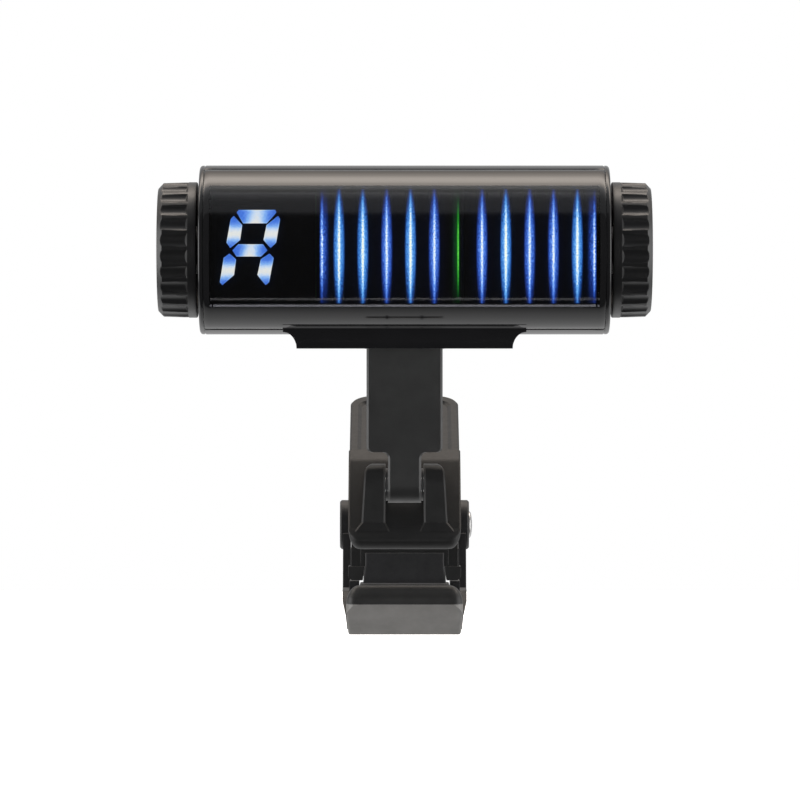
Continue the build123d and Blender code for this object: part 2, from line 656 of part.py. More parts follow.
def make_pivot_pin():
    """A pin across the clip with a flat round head at one end."""
    pin = rod(PIVOT_PIN_R, (-BOSS_OUT + 0.1, BOSS_OUT + 0.02), PIVOT_Y, PIVOT_Z)
    head = rod(1.9, (BOSS_OUT + 0.02, BOSS_OUT + 0.45), PIVOT_Y, PIVOT_Z)
    return pin + chamfer(head.edges().group_by(Axis.X)[-1], 0.25)


def make_clip_spring():
    """A torsion spring round the pin; its legs push the two handles apart."""
    length = 8.0
    turns = 7
    body = coil(SPRING_R, SPRING_WIRE, length, turns, -length / 2, PIVOT_Y, PIVOT_Z)
    low = (32.0, -4.0)
    high = (33.0, 21.5)
    end = length / 2
    lower_leg = wire_run([(-end, PIVOT_Y, PIVOT_Z - SPRING_R), (-end, *low)], SPRING_WIRE)
    upper_leg = wire_run([(end, PIVOT_Y, PIVOT_Z + SPRING_R), (end, *high)], SPRING_WIRE)
    return body + lower_leg + upper_leg


# ---------------------------------------------------------------- the parts
def all_parts():
    """Every piece of the tuner by name."""
    parts = {
        "front_cover": make_front_cover(),
        "rear_shell": make_rear_shell(),
        "battery_door": make_battery_door(),
        "end_cap_screws": make_end_cap_screws(),
        "main_board": make_main_board(),
        "strobe_leds": make_strobe_leds(),
        "strobe_light_guide": make_strobe_light_guide(),
        "digit_display": make_digit_display(),
        "digit_segments": make_digit_segments(),
        "display_mask": make_display_mask(),
        "battery_tray": make_battery_tray(),
        "battery": make_battery(),
        "positive_contact": make_positive_contact(),
        "negative_contact": make_negative_contact(),
        "vibration_sensor": make_vibration_sensor(),
        "arm": make_arm(),
        "head_pin": make_head_pin(),
        "head_washers": make_head_washers(),
        "arm_pin": make_arm_pin(),
        "arm_washers": make_arm_washers(),
        "upper_lever": make_upper_lever(),
        "upper_pad": make_upper_pad(),
        "lower_jaw": make_lower_jaw(),
        "lower_pad": make_lower_pad(),
        "lower_lever": make_lower_lever(),
        "pivot_pin": make_pivot_pin(),
        "clip_spring": make_clip_spring(),
    }
    for name, side in (("left", -1), ("right", 1)):
        parts[name + "_end_cap"] = make_end_cap(side)
        parts[name + "_knob"] = make_knob(side)
        parts[name + "_knob_shaft"] = make_knob_shaft(side)
        parts[name + "_return_spring"] = make_return_spring(side)
        parts[name + "_switch"] = make_switch(side)
    return parts


os.makedirs("parts", exist_ok=True)
for node, shape in all_parts().items():
    export_step(shape, "parts/" + node + ".step")
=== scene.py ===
import json
from math import atan2, cos, pi, radians, sin, sqrt

import bpy
import numpy as np
from bpy.props import FloatProperty, IntProperty, PointerProperty
from bpy.types import Operator, Panel, PropertyGroup
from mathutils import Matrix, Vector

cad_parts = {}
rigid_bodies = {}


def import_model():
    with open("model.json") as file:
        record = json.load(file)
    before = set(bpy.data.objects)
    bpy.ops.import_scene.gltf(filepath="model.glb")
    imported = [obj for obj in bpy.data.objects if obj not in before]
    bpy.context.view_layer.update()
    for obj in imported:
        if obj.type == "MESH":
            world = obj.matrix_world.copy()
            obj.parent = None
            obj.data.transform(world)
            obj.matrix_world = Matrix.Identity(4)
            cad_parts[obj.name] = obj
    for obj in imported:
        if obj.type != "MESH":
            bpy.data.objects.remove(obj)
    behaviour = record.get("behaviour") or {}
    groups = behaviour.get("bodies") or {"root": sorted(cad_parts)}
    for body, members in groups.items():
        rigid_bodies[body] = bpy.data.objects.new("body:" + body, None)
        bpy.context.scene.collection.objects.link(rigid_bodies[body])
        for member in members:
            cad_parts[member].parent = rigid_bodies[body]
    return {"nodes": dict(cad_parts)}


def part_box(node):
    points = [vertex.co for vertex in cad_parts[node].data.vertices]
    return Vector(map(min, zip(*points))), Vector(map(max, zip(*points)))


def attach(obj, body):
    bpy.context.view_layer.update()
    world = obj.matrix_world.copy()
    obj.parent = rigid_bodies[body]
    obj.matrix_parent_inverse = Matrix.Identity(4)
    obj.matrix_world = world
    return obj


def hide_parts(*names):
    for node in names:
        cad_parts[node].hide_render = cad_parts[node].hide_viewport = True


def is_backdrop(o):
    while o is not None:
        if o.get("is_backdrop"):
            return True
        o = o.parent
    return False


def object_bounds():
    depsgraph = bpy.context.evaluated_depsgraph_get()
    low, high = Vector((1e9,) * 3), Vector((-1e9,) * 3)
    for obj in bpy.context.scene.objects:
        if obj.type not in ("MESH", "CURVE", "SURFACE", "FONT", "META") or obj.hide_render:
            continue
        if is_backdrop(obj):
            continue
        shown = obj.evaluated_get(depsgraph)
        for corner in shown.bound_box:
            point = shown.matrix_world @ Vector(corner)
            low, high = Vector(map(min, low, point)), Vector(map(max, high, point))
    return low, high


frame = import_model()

bl_info = {
    "name": "Clip-on Tuner Looks",
    "version": (1, 0, 0),
    "blender": (4, 5, 0),
    "location": "View3D > Sidebar > Tuner",
    "description": "Builds the visible pieces of a clip-on tuner over its packed frame",
    "category": "Object",
}

BOUNDS_AT_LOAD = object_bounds()
MM = 0.001


# ---------------------------------------------------------------- the frame's sizes
def extent(node):
    """The lowest and highest corners of a frame node, in millimetres."""
    low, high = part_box(node)
    return np.array(low) / MM, np.array(high) / MM


CAP_LOW, CAP_HIGH = extent("right_end_cap")
PIN_LOW, PIN_HIGH = extent("pivot_pin")
HINGE_LOW, HINGE_HIGH = extent("arm_pin")
HEAD_LOW, HEAD_HIGH = extent("head_pin")
BARREL_AXIS = ((CAP_LOW[1] + CAP_HIGH[1]) / 2, (CAP_LOW[2] + CAP_HIGH[2]) / 2)
PIVOT = ((PIN_LOW[1] + PIN_HIGH[1]) / 2, (PIN_LOW[2] + PIN_HIGH[2]) / 2)
ARM_PIN = ((HINGE_LOW[1] + HINGE_HIGH[1]) / 2, (HINGE_LOW[2] + HINGE_HIGH[2]) / 2)
HEAD_PIN = ((HEAD_LOW[1] + HEAD_HIGH[1]) / 2, (HEAD_LOW[2] + HEAD_HIGH[2]) / 2)


# ---------------------------------------------------------------- settings
def size(name, description, millimetres):
    """A length setting; its default is given in millimetres."""
    return FloatProperty(
        name=name, description=description, default=millimetres * MM, min=0.0,
        unit="LENGTH", subtype="DISTANCE", precision=5,
    )


def turn(name, description, angle):
    """An angle setting; its default is given in degrees."""
    return FloatProperty(
        name=name, description=description, default=radians(angle), unit="ROTATION", subtype="ANGLE",
    )


class TunerBarrelSettings(PropertyGroup):
    radius: size("Radius", "Outside radius of the barrel", 11.99)
    wall: size("Wall", "Wall of the cover and the shell", 1.2)
    half: size("Half length", "Half the barrel's length over its end caps", 29.0)
    rim: size("Rim", "Thickness of an end cap's rim", 0.64)
    cover: turn("Cover", "How far the front cover reaches above and below straight ahead", 70.5)
    seam: turn("Seam", "Gap between the cover and the shell", 0.8)
    door: turn("Door", "Half the battery door's arc", 37.0)
    door_half: size("Door half length", "Half the battery door's length", 24.6)
    saddle_bottom: size("Saddle bottom", "Height of the saddle's underside", 33.3)
    saddle_half: size("Saddle half width", "Half the width of the saddle's flat bottom", 15.3)
    saddle_depth: size("Saddle half depth", "Half the depth of the saddle's flat bottom", 3.7)


class TunerKnobSettings(PropertyGroup):
    inner: size("Inner face", "Distance of a knob's inner face from the middle", 29.35)
    outer: size("Outer face", "Distance of a knob's outer face from the middle", 34.9)
    radius: size("Radius", "Radius over the flutes' crests", 9.6)
    ring: size("Ring", "Radius of the plain ring", 9.62)
    flutes: IntProperty(name="Flutes", description="Number of flutes round a knob", default=26, min=8)
    flute_radius: size("Flute radius", "Radius of each flute's hollow", 1.6)
    flute_depth: size("Flute depth", "Depth of each flute", 0.35)


class TunerDisplaySettings(PropertyGroup):
    bars: IntProperty(name="Bars", description="Number of whole strobe bars", default=11, min=1)
    green: IntProperty(name="Green bar", description="Which bar is lit green, from the left", default=5)
    pitch: size("Pitch", "Spacing of the strobe bars", 3.36)
    first: FloatProperty(name="First bar", description="X of the first whole bar", default=-9.25 * MM,
                         unit="LENGTH", subtype="DISTANCE", precision=5)
    rise: size("Bar half height", "Half the height of a bar", 8.5)
    bar_half: size("Bar half width", "Half the width of a bar at its middle", 0.78)
    letter: FloatProperty(name="Letter", description="X of the middle of the letter", default=-21.8 * MM,
                          unit="LENGTH", subtype="DISTANCE", precision=5)
    slant: turn("Slant", "Lean of the letter", 10.0)


class TunerClipSettings(PropertyGroup):
    deck_half: size("Deck half width", "Half the width of the sloping deck", 8.0)
    handle_half: size("Handle half width", "Half the width of the thumb handle", 7.9)
    plate_in: size("Plate inside", "Inner face of a side plate, from the middle", 7.75)
    plate_out: size("Plate outside", "Outer face of a side plate, from the middle", 8.85)
    jaw_half: size("Jaw half width", "Half the width of the lower jaw", 8.25)
    spring: size("Spring radius", "Radius of the torsion spring's turns", 2.5)
    wire: size("Wire", "Diameter of the spring's wire", 0.9)


class TunerStageSettings(PropertyGroup):
    distance: size("Camera distance", "From the barrel's axis to the camera", 830.0)
    height: size("Camera height", "Height of the camera above the mouth's plane", 26.0)
    width: size("View width", "Width of the view at the barrel's axis", 113.6)
    floor: size("Floor drop", "How far the floor lies below the mouth's plane", 60.0)
    fill: FloatProperty(name="Front fill", description="Power in watts of the light in front", default=3.6)
    glow: FloatProperty(name="Glow", description="Brightness that the light's ramps count as full", default=5.6)


class TunerSettings(PropertyGroup):
    barrel: PointerProperty(type=TunerBarrelSettings)
    knob: PointerProperty(type=TunerKnobSettings)
    display: PointerProperty(type=TunerDisplaySettings)
    clip: PointerProperty(type=TunerClipSettings)
    stage: PointerProperty(type=TunerStageSettings)


# ---------------------------------------------------------------- shapes
# A shape is (points, faces): points in millimetres, and faces as arrays of corner numbers,
# one array for each number of corners.

def grid_quads(rows, columns, wrap=False):
    """The quads between neighbouring rows and columns; wrap joins the last column to the first."""
    steps = columns if wrap else columns - 1
    row, column = np.meshgrid(np.arange(rows - 1), np.arange(steps), indexing="ij")
    after = (column + 1) % columns
    quads = np.stack([row * columns + column, row * columns + after,
                      (row + 1) * columns + after, (row + 1) * columns + column], -1)
    return quads.reshape(-1, 4)


def outward(shape):
    """The same shape with its faces turned outward: the signed volume of the fans is made positive."""
    points, faces = shape
    total = 0.0
    for block in faces:
        for k in range(1, block.shape[1] - 1):
            a, b, c = points[block[:, 0]], points[block[:, k]], points[block[:, k + 1]]
            total += float((a * np.cross(b, c)).sum())
    if total < 0:
        faces = [block[:, ::-1] for block in faces]
    return points, faces


def loft(rings):
    """Rings of equal length joined in turn and closed at both ends."""
    rings = np.asarray(rings, float)
    rows, columns = rings.shape[:2]
    first = np.arange(columns)[::-1][None, :]
    last = first[:, ::-1] + (rows - 1) * columns
    return outward((rings.reshape(-1, 3), [grid_quads(rows, columns, True), first, last]))


def hoop(rings):
    """Rings joined in turn, and the last to the first, as for a bored part."""
    rings = np.asarray(rings, float)
    rows, columns = rings.shape[:2]
    quads = grid_quads(rows + 1, columns, True) % (rows * columns)
    return outward((rings.reshape(-1, 3), [quads]))


def placed(outline, axis, value):
    """A flat outline set across an axis: its two numbers are the other two coordinates in order."""
    outline = np.asarray(outline, float)
    points = np.empty((len(outline), 3))
    others = [k for k in range(3) if k != axis]
    points[:, others] = outline
    points[:, axis] = value
    return points


def prism(outline, axis, low, high):
    """An outline carried straight along an axis: 0, 1 or 2 for X, Y or Z."""
    return loft([placed(outline, axis, low), placed(outline, axis, high)])


def block(x, y, z):
    """A box between pairs of X, Y and Z."""
    return prism([(x[0], y[0]), (x[1], y[0]), (x[1], y[1]), (x[0], y[1])], 2, z[0], z[1])


def rounded(corners, radii, steps=6):
    """An outline with rounded corners. Each arc's centre lies on its corner's bisector,
    at the radius over the sine of half the corner's angle, and the arc runs between its tangent points."""
    corners = np.asarray(corners, float)
    radii = np.broadcast_to(np.asarray(radii, float), len(corners))
    before = np.roll(corners, 1, 0) - corners
    after = np.roll(corners, -1, 0) - corners
    before /= np.linalg.norm(before, axis=1)[:, None]
    after /= np.linalg.norm(after, axis=1)[:, None]
    half = np.arccos(np.clip((before * after).sum(1), -1, 1)) / 2
    reach = (radii / np.tan(half))[:, None]
    bisector = before + after
    bisector /= np.maximum(np.linalg.norm(bisector, axis=1), 1e-9)[:, None]
    centre = corners + bisector * (radii / np.sin(half))[:, None]
    start = corners + before * reach - centre
    end = corners + after * reach - centre
    first = np.arctan2(start[:, 1], start[:, 0])
    sweep = (np.arctan2(end[:, 1], end[:, 0]) - first + pi) % (2 * pi) - pi
    angle = first[:, None] + sweep[:, None] * np.linspace(0, 1, steps + 1)
    arcs = centre[:, None] + radii[:, None, None] * np.stack([np.cos(angle), np.sin(angle)], -1)
    arcs = [arc[:1] if radius < 1e-6 else arc for arc, radius in zip(arcs, radii)]
    return np.concatenate(arcs)


def disc(radius, centre, steps=48):
    """A round outline."""
    angle = np.linspace(0, 2 * pi, steps, endpoint=False)
    return np.stack([centre[0] + radius * np.cos(angle), centre[1] + radius * np.sin(angle)], 1)


def round_bar(radius, centre, low, high, edge=0.15, steps=64):
    """A cylinder along X with chamfered ends."""
    radii = [radius - edge, radius, radius, radius - edge]
    stations = [low, low + edge, high - edge, high]
    return loft([placed(disc(r, centre, steps), 0, x) for r, x in zip(radii, stations)])


def around(angles, radius, x, centre):
    """Points round an X-wise axis: y = centre - radius cos(angle), z = centre + radius sin(angle),
    so an angle of nought is straight ahead and a right angle is straight up."""
    angles, radius, x = np.broadcast_arrays(angles, radius, x)
    return np.stack([x, centre[0] - radius * np.cos(angles), centre[1] + radius * np.sin(angles)], -1)


def slab(outer, inner, keep=None):
    """A wall between two surfaces on the same grid. Cells left out of keep become openings,
    and every border between a kept cell and no cell gets a side wall."""
    outer, inner = np.asarray(outer, float), np.asarray(inner, float)
    rows, columns = outer.shape[:2]
    if keep is None:
        keep = np.ones((rows - 1, columns - 1), bool)
    count = rows * columns
    quads = grid_quads(rows, columns)[keep.ravel()]
    padded = np.zeros((rows + 1, columns + 1), bool)
    padded[1:-1, 1:-1] = keep
    number = np.arange(count).reshape(rows, columns)
    sides = []
    step = padded[1:, 1:-1].astype(int) - padded[:-1, 1:-1]
    for sign in (1, -1):
        row, column = np.nonzero(step == sign)
        a, b = number[row, column], number[row, column + 1]
        if sign < 0:
            a, b = b, a
        sides.append(np.stack([b, a, a + count, b + count], 1))
    step = padded[1:-1, 1:].astype(int) - padded[1:-1, :-1]
    for sign in (1, -1):
        row, column = np.nonzero(step == sign)
        a, b = number[row, column], number[row + 1, column]
        if sign > 0:
            a, b = b, a
        sides.append(np.stack([b, a, a + count, b + count], 1))
    faces = np.concatenate([quads, quads[:, ::-1] + count] + sides)
    points = np.concatenate([outer.reshape(-1, 3), inner.reshape(-1, 3)])
    used = np.unique(faces)
    fresh = np.full(len(points), -1)
    fresh[used] = np.arange(len(used))
    return outward((points[used], [fresh[faces]]))


def tube(path, radius, steps=14):
    """Round wire along a path. Each cross-section's frame is the last one carried along
    without twist: its first direction less the part along the new tangent."""
    path = np.asarray(path, float)
    tangent = np.gradient(path, axis=0)
    tangent /= np.linalg.norm(tangent, axis=1)[:, None]
    side = np.cross(tangent[0], (0.3, 0.5, 0.8))
    angle = np.linspace(0, 2 * pi, steps, endpoint=False)[:, None]
    rings = []
    for point, along in zip(path, tangent):
        side = side - along * (side @ along)
        side /= np.linalg.norm(side)
        other = np.cross(along, side)
        rings.append(point + radius * (np.cos(angle) * side + np.sin(angle) * other))
    return loft(rings)


def eased(points, radius, steps=8):
    """A path through points with each inner corner turned into a curve: a quadratic that leaves
    and meets the straight runs at the given distance from the corner."""
    points = [np.asarray(p, float) for p in points]
    path = [points[0]]
    t = np.linspace(0, 1, steps + 1)[:, None]
    for before, corner, after in zip(points, points[1:], points[2:]):
        start = corner + radius * (before - corner) / np.linalg.norm(before - corner)
        end = corner + radius * (after - corner) / np.linalg.norm(after - corner)
        path.extend((1 - t) ** 2 * start + 2 * t * (1 - t) * corner + t ** 2 * end)
    path.append(points[-1])
    return np.array(path)


def mirrored(shape):
    """The shape's mirror image across the middle plane."""
    points, faces = shape
    return outward((points * (-1, 1, 1), faces))


def pair(shape):
    return [shape, mirrored(shape)]


def spread(stations, step):
    """Sorted numbers that include every station, with none further apart than the step."""
    stations = sorted(set(stations))
    runs = [np.linspace(a, b, max(2, int(np.ceil((b - a) / step)) + 1))[:-1]
            for a, b in zip(stations, stations[1:])]
    return np.concatenate(runs + [[stations[-1]]])


# ---------------------------------------------------------------- pieces
def make_piece(name, body, shapes, material, replaced=(), bevel=0.0, crease=32.0, marks=None):
    """One object from shapes in millimetres, riding on a body of the frame. A bevel softens
    every edge sharper than 30 degrees; without one, edges above the crease angle stay sharp."""
    if not shapes:
        raise ValueError(name + " has no shapes")
    points, faces, start = [], [], 0
    for corners, blocks in shapes:
        points.append(corners)
        for part in blocks:
            faces.extend((part + start).tolist())
        start += len(corners)
    mesh = bpy.data.meshes.new(name)
    mesh.from_pydata((np.concatenate(points) * MM).tolist(), [], faces)
    mesh.materials.append(material)
    for mark, values in (marks or {}).items():
        attribute = mesh.attributes.new(mark, "FLOAT", "POINT")
        attribute.data.foreach_set("value", np.concatenate([np.ravel(v) for v in values]))
    mesh.shade_smooth()
    piece = bpy.data.objects.new(name, mesh)
    bpy.context.scene.collection.objects.link(piece)
    if bevel:
        edges = piece.modifiers.new("Soft edges", "BEVEL")
        edges.width = bevel * MM
        edges.segments = 3
        edges.limit_method = "ANGLE"
        edges.angle_limit = radians(30)
        edges.use_clamp_overlap = True
        edges.harden_normals = True
    else:
        mesh.set_sharp_from_angle(angle=radians(crease))
    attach(piece, body)
    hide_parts(*replaced)
    return piece


# ---------------------------------------------------------------- materials
def fill_ramp(ramp, stops):
    """Sets a ramp's stops from (position, colour or grey) pairs in rising order."""
    elements = ramp.elements
    elements[0].position, elements[1].position = stops[0][0], stops[-1][0]
    for position, _ in stops[1:-1]:
        elements.new(position)
    for element, (_, colour) in zip(elements, stops):
        if isinstance(colour, (int, float)):
            colour = (colour, colour, colour)
        element.color = (*colour, 1.0)


class Shader:
    """A material's node tree, built node by node around one principled shader."""

    def __init__(self, name):
        self.material = bpy.data.materials.new(name)
        self.material.use_nodes = True
        self.tree = self.material.node_tree
        self.tree.nodes.clear()
        self.output = self.add("ShaderNodeOutputMaterial")
        self.main = self.add("ShaderNodeBsdfPrincipled")
        self.tree.links.new(self.main.outputs[0], self.output.inputs["Surface"])

    def add(self, kind, inputs=None, **settings):
        node = self.tree.nodes.new(kind)
        for key, value in settings.items():
            setattr(node, key, value)
        for key, value in (inputs or {}).items():
            self.put(node.inputs[key], value)
        return node

    def put(self, socket, value):
        """Links an output to a socket, or sets the socket's own value."""
        if isinstance(value, bpy.types.NodeSocket):
            self.tree.links.new(value, socket)
        else:
            socket.default_value = value

    def set(self, **values):
        """Sets the principled shader's sockets; underscores stand for spaces."""
        for key, value in values.items():
            self.put(self.main.inputs[key.replace("_", " ")], value)
        return self

    def place(self):
        return self.add("ShaderNodeTexCoord").outputs["Object"]

    def noise(self, scale, detail=2.0, roughness=0.5, stretch=None):
        """A noise pattern in the object's own space; scale counts features in a metre."""
        place = self.place()
        if stretch:
            place = self.add("ShaderNodeMapping", {"Vector": place, "Scale": stretch}).outputs[0]
        node = self.add("ShaderNodeTexNoise",
                        {"Vector": place, "Scale": scale, "Detail": detail, "Roughness": roughness})
        return node.outputs["Fac"]

    def ramp(self, value, stops, mode="LINEAR"):
        """Colours or greys along a value: stops are (position, colour)."""
        node = self.add("ShaderNodeValToRGB", {"Fac": value})
        node.color_ramp.interpolation = mode
        fill_ramp(node.color_ramp, stops)
        return node.outputs["Color"]

    def math(self, operation, *values):
        node = self.add("ShaderNodeMath", operation=operation)
        for socket, value in zip(node.inputs, values):
            self.put(socket, value)
        return node.outputs[0]

    def mix(self, factor, a, b):
        node = self.add("ShaderNodeMix", data_type="RGBA")
        self.put(node.inputs["Factor"], factor)
        for key, value in (("A", a), ("B", b)):
            socket = [s for s in node.inputs if s.name == key and s.type == "RGBA"][0]
            if not isinstance(value, bpy.types.NodeSocket):
                value = (*value, 1.0)
            self.put(socket, value)
        return [s for s in node.outputs if s.type == "RGBA"][0]

    def bump(self, height, strength, depth):
        """A bump from a height pattern; depth is in millimetres."""
        node = self.add("ShaderNodeBump", {"Strength": strength, "Distance": depth * MM, "Height": height})
        return node.outputs[0]


def moulded(name, shade, rough, grain=0.25, fine=5200, depth=0.012, wear=380, shine=0.5):
    """Moulded plastic: the shade drifts a little over the piece, its roughness varies
    between the two values, and a fine grain raises the surface."""
    s = Shader(name)
    drift = s.noise(wear, 3.0, 0.6)
    dark = [c * 0.9 for c in shade]
    light = [c * 1.12 for c in shade]
    s.set(Base_Color=s.ramp(drift, [(0.3, dark), (0.7, light)]))
    s.set(Roughness=s.ramp(s.noise(wear * 3, 4.0, 0.55), [(0.3, rough[0]), (0.7, rough[1])]))
    s.set(Normal=s.bump(s.noise(fine, 3.0, 0.6), grain, depth))
    s.main.inputs["IOR"].default_value = 1.5
    s.main.inputs["Specular IOR Level"].default_value = shine
    return s


def metal(name, shade, rough, scratch=(1, 1, 1), fine=2600):
    """Drawn or plated metal: fine streaks vary the shade and the roughness."""
    s = Shader(name)
    streaks = s.noise(fine, 4.0, 0.6, scratch)
    dark = [c * 0.8 for c in shade]
    s.set(Base_Color=s.ramp(streaks, [(0.3, dark), (0.7, shade)]), Metallic=1.0)
    s.set(Roughness=s.ramp(streaks, [(0.25, rough[0]), (0.75, rough[1])]))
    s.set(Normal=s.bump(streaks, 0.15, 0.01))
    return s


def barrel_gloss(name="Barrel gloss"):
    s = moulded(name, (0.011, 0.011, 0.012), (0.05, 0.09), grain=0.03, fine=900, depth=0.01, wear=160)
    s.set(Specular_IOR_Level=0.5)
    return s.material


def smoked_glass():
    """Clear dark plastic: a grey tint on both faces lets about a quarter of the light through."""
    s = Shader("Smoked cover")
    wave = s.noise(60, 2.0)
    s.set(Base_Color=s.ramp(wave, [(0.2, (0.50, 0.50, 0.53)), (0.8, (0.54, 0.54, 0.57))]))
    s.set(Normal=s.bump(wave, 0.003, 0.01))
    s.main.inputs["Roughness"].default_value = 0.02
    s.main.inputs["IOR"].default_value = 1.5
    s.main.inputs["Transmission Weight"].default_value = 1.0
    return s.material


def glowing(name, fine):
    """A shader whose light comes from marks on the mesh, and the speckle that breaks it up."""
    s = Shader(name)
    speckle = s.noise(fine, 3.0, 0.7)
    s.set(Base_Color=(0.006, 0.007, 0.010, 1.0))
    s.set(Roughness=s.ramp(speckle, [(0.3, 0.4), (0.7, 0.55)]))
    return s, s.math("MULTIPLY", s.math("SUBTRACT", speckle, 0.5), 3.4)


def mark(s, name):
    """What the named attribute says at each point of the piece."""
    return s.add("ShaderNodeAttribute", attribute_name=name).outputs["Fac"]


def strobe_light():
    """Light along the strobe bars: the marks give how bright blue or green it is at each point."""
    s, speckle = glowing("Strobe light", 5200)
    blue = mark(s, "warmth")
    value = s.math("MULTIPLY_ADD", speckle, s.math("MULTIPLY", blue, 0.62), blue)
    deep = s.ramp(value, [(0.0, (0.0, 0.0, 0.0)), (0.10, (0.0012, 0.003, 0.016)), (0.30, (0.006, 0.022, 0.15)),
                          (0.48, (0.035, 0.115, 0.52)), (0.66, (0.12, 0.30, 0.83)),
                          (0.84, (0.42, 0.66, 0.96)), (1.0, (0.96, 0.96, 0.80))])
    pale = s.ramp(value, [(0.0, (0.0, 0.0, 0.0)), (0.10, (0.0010, 0.004, 0.016)), (0.30, (0.006, 0.034, 0.16)),
                          (0.48, (0.035, 0.175, 0.53)), (0.66, (0.11, 0.38, 0.82)),
                          (0.84, (0.42, 0.72, 0.95)), (1.0, (0.96, 0.97, 0.76))])
    green = mark(s, "green")
    value = s.math("MULTIPLY_ADD", speckle, s.math("MULTIPLY", green, 0.5), green)
    leaf = s.ramp(value, [(0.0, (0.0, 0.0, 0.0)), (0.15, (0.0006, 0.009, 0.002)), (0.35, (0.003, 0.05, 0.008)),
                          (0.65, (0.02, 0.33, 0.02)), (0.95, (0.16, 0.80, 0.09))])
    colour = s.mix(mark(s, "azure"), deep, pale)
    both = s.add("ShaderNodeVectorMath", {0: colour, 1: leaf}, operation="ADD").outputs[0]
    s.set(Emission_Color=both)
    s.main.inputs["Emission Strength"].default_value = 2.2
    return s.material


def letter_light():
    """Light of the lit letter: its warmth mark picks a colour from deep blue up to cream."""
    s, speckle = glowing("Letter light", 5200)
    value = s.math("MULTIPLY_ADD", speckle, 0.10, mark(s, "warmth"))
    s.set(Emission_Color=s.ramp(value, [
        (0.0, (0.01, 0.02, 0.10)), (0.25, (0.03, 0.11, 0.50)), (0.40, (0.065, 0.20, 0.74)),
        (0.60, (0.26, 0.50, 0.90)), (0.76, (0.60, 0.74, 0.88)), (0.92, (0.84, 0.84, 0.74)),
    ]))
    s.main.inputs["Emission Strength"].default_value = 1.9
    return s.material


def circuit_board():
    """Green solder mask with pale tracks: wide stripes cut by a cell pattern."""
    s = Shader("Circuit board")
    place = s.place()
    cells = s.add("ShaderNodeTexVoronoi", {"Vector": place, "Scale": 700.0}, distance="CHEBYCHEV")
    tracks = s.ramp(cells.outputs["Distance"], [(0.42, (0.004, 0.03, 0.012)), (0.5, (0.02, 0.09, 0.03))])
    s.set(Base_Color=tracks, Roughness=s.ramp(s.noise(900), [(0.3, 0.3), (0.7, 0.45)]))
    s.set(Normal=s.bump(cells.outputs["Distance"], 0.3, 0.03))
    return s.material


def printed_jacket():
    """The cell's wrapper: a dark body with a copper band at its positive end, by place along X."""
    s = Shader("Cell jacket")
    x = s.add("ShaderNodeSeparateXYZ", {"Vector": s.place()}).outputs["X"]
    band = s.add("ShaderNodeMapRange", {"Value": x, "From Min": 0.0115, "From Max": 0.0119}).outputs[0]
    tip = s.add("ShaderNodeMapRange", {"Value": x, "From Min": 0.0210, "From Max": 0.0212}).outputs[0]
    colour = s.mix(tip, s.mix(band, (0.02, 0.02, 0.022), (0.45, 0.2, 0.07)), (0.6, 0.6, 0.6))
    s.set(Base_Color=colour, Roughness=s.ramp(s.noise(700), [(0.3, 0.25), (0.7, 0.4)]))
    s.set(Metallic=s.math("MAXIMUM", band, tip))
    return s.material


def wipe_node(name):
    """A frame node's own mesh gets smooth shading with sharp edges kept, which leaves its points alone."""
    mesh = frame["nodes"][name].data
    mesh.shade_smooth()
    mesh.set_sharp_from_angle(angle=radians(25))
    return mesh


def dress(material, *names):
    """Gives frame nodes that stay as they are a material of their own."""
    for name in names:
        mesh = wipe_node(name)
        mesh.materials.clear()
        mesh.materials.append(material)


# ---------------------------------------------------------------- operators
class TUNER_OT_cover(Operator):
    """Builds the smoked front cover: a thin arc of tube with a notch over the saddle"""
    bl_idname = "tuner.cover"
    bl_label = "Front Cover"

    def execute(self, context):
        s = context.scene.tuner.barrel
        radius, wall = s.radius / MM, s.wall / MM
        span = s.half / MM - s.rim / MM - 0.06
        notch_half = s.saddle_half / MM + 0.7
        notch = -asin_of((BARREL_AXIS[1] - 36.6) / radius)
        window, sill = asin_of(8.85 / radius), asin_of(8.2 / radius)
        edge = 0.22
        x = spread([-span, -span + edge, -span + 0.9, -notch_half,
                    notch_half, span - 0.9, span - edge, span], 3.0)
        angles = spread([-s.cover, -s.cover + 0.012, notch, -sill, window, s.cover - 0.012, s.cover],
                        radians(2.5))
        across, up = np.meshgrid(x, angles)
        flare = np.clip((notch - up) / (s.cover + notch), 0, 1)
        across = across + flare * np.sign(across) * (np.abs(np.abs(across) - notch_half) < 1e-6)
        border = np.minimum(span - np.abs(across), (s.cover - np.abs(up)) * radius)
        lip = 0.12 * np.clip(1 - border / edge, 0, 1) ** 2
        outer = around(up, radius - lip, across, BARREL_AXIS)
        inner = around(up, radius - wall, across, BARREL_AXIS)
        middle_x = (across[1:, 1:] + across[1:, :-1]) / 2
        middle_up = (up[1:, 1:] + up[:-1, 1:]) / 2
        notched = (np.abs(middle_x) < notch_half) & (middle_up < notch)
        clear = (middle_up < window) & (middle_up > -sill) & (np.abs(middle_x) < span - 0.9)
        make_piece("cover_window_look", "head", [slab(outer, inner, clear)],
                   smoked_glass(), ["front_cover"], crease=40)
        make_piece("cover_border_look", "head", [slab(outer, inner, ~(clear | notched))],
                   barrel_gloss("Cover border"), ["front_cover"], crease=40)
        return {"FINISHED"}


def asin_of(value):
    """The angle whose sine is value, for a value between -1 and 1."""
    return atan2(value, sqrt(1 - value * value))


def hollow_curve(t):
    """A quarter of an ellipse from 0 to 1: straight up at the start and level at the end."""
    return np.sqrt(1 - (1 - np.clip(t, 0, 1)) ** 2)


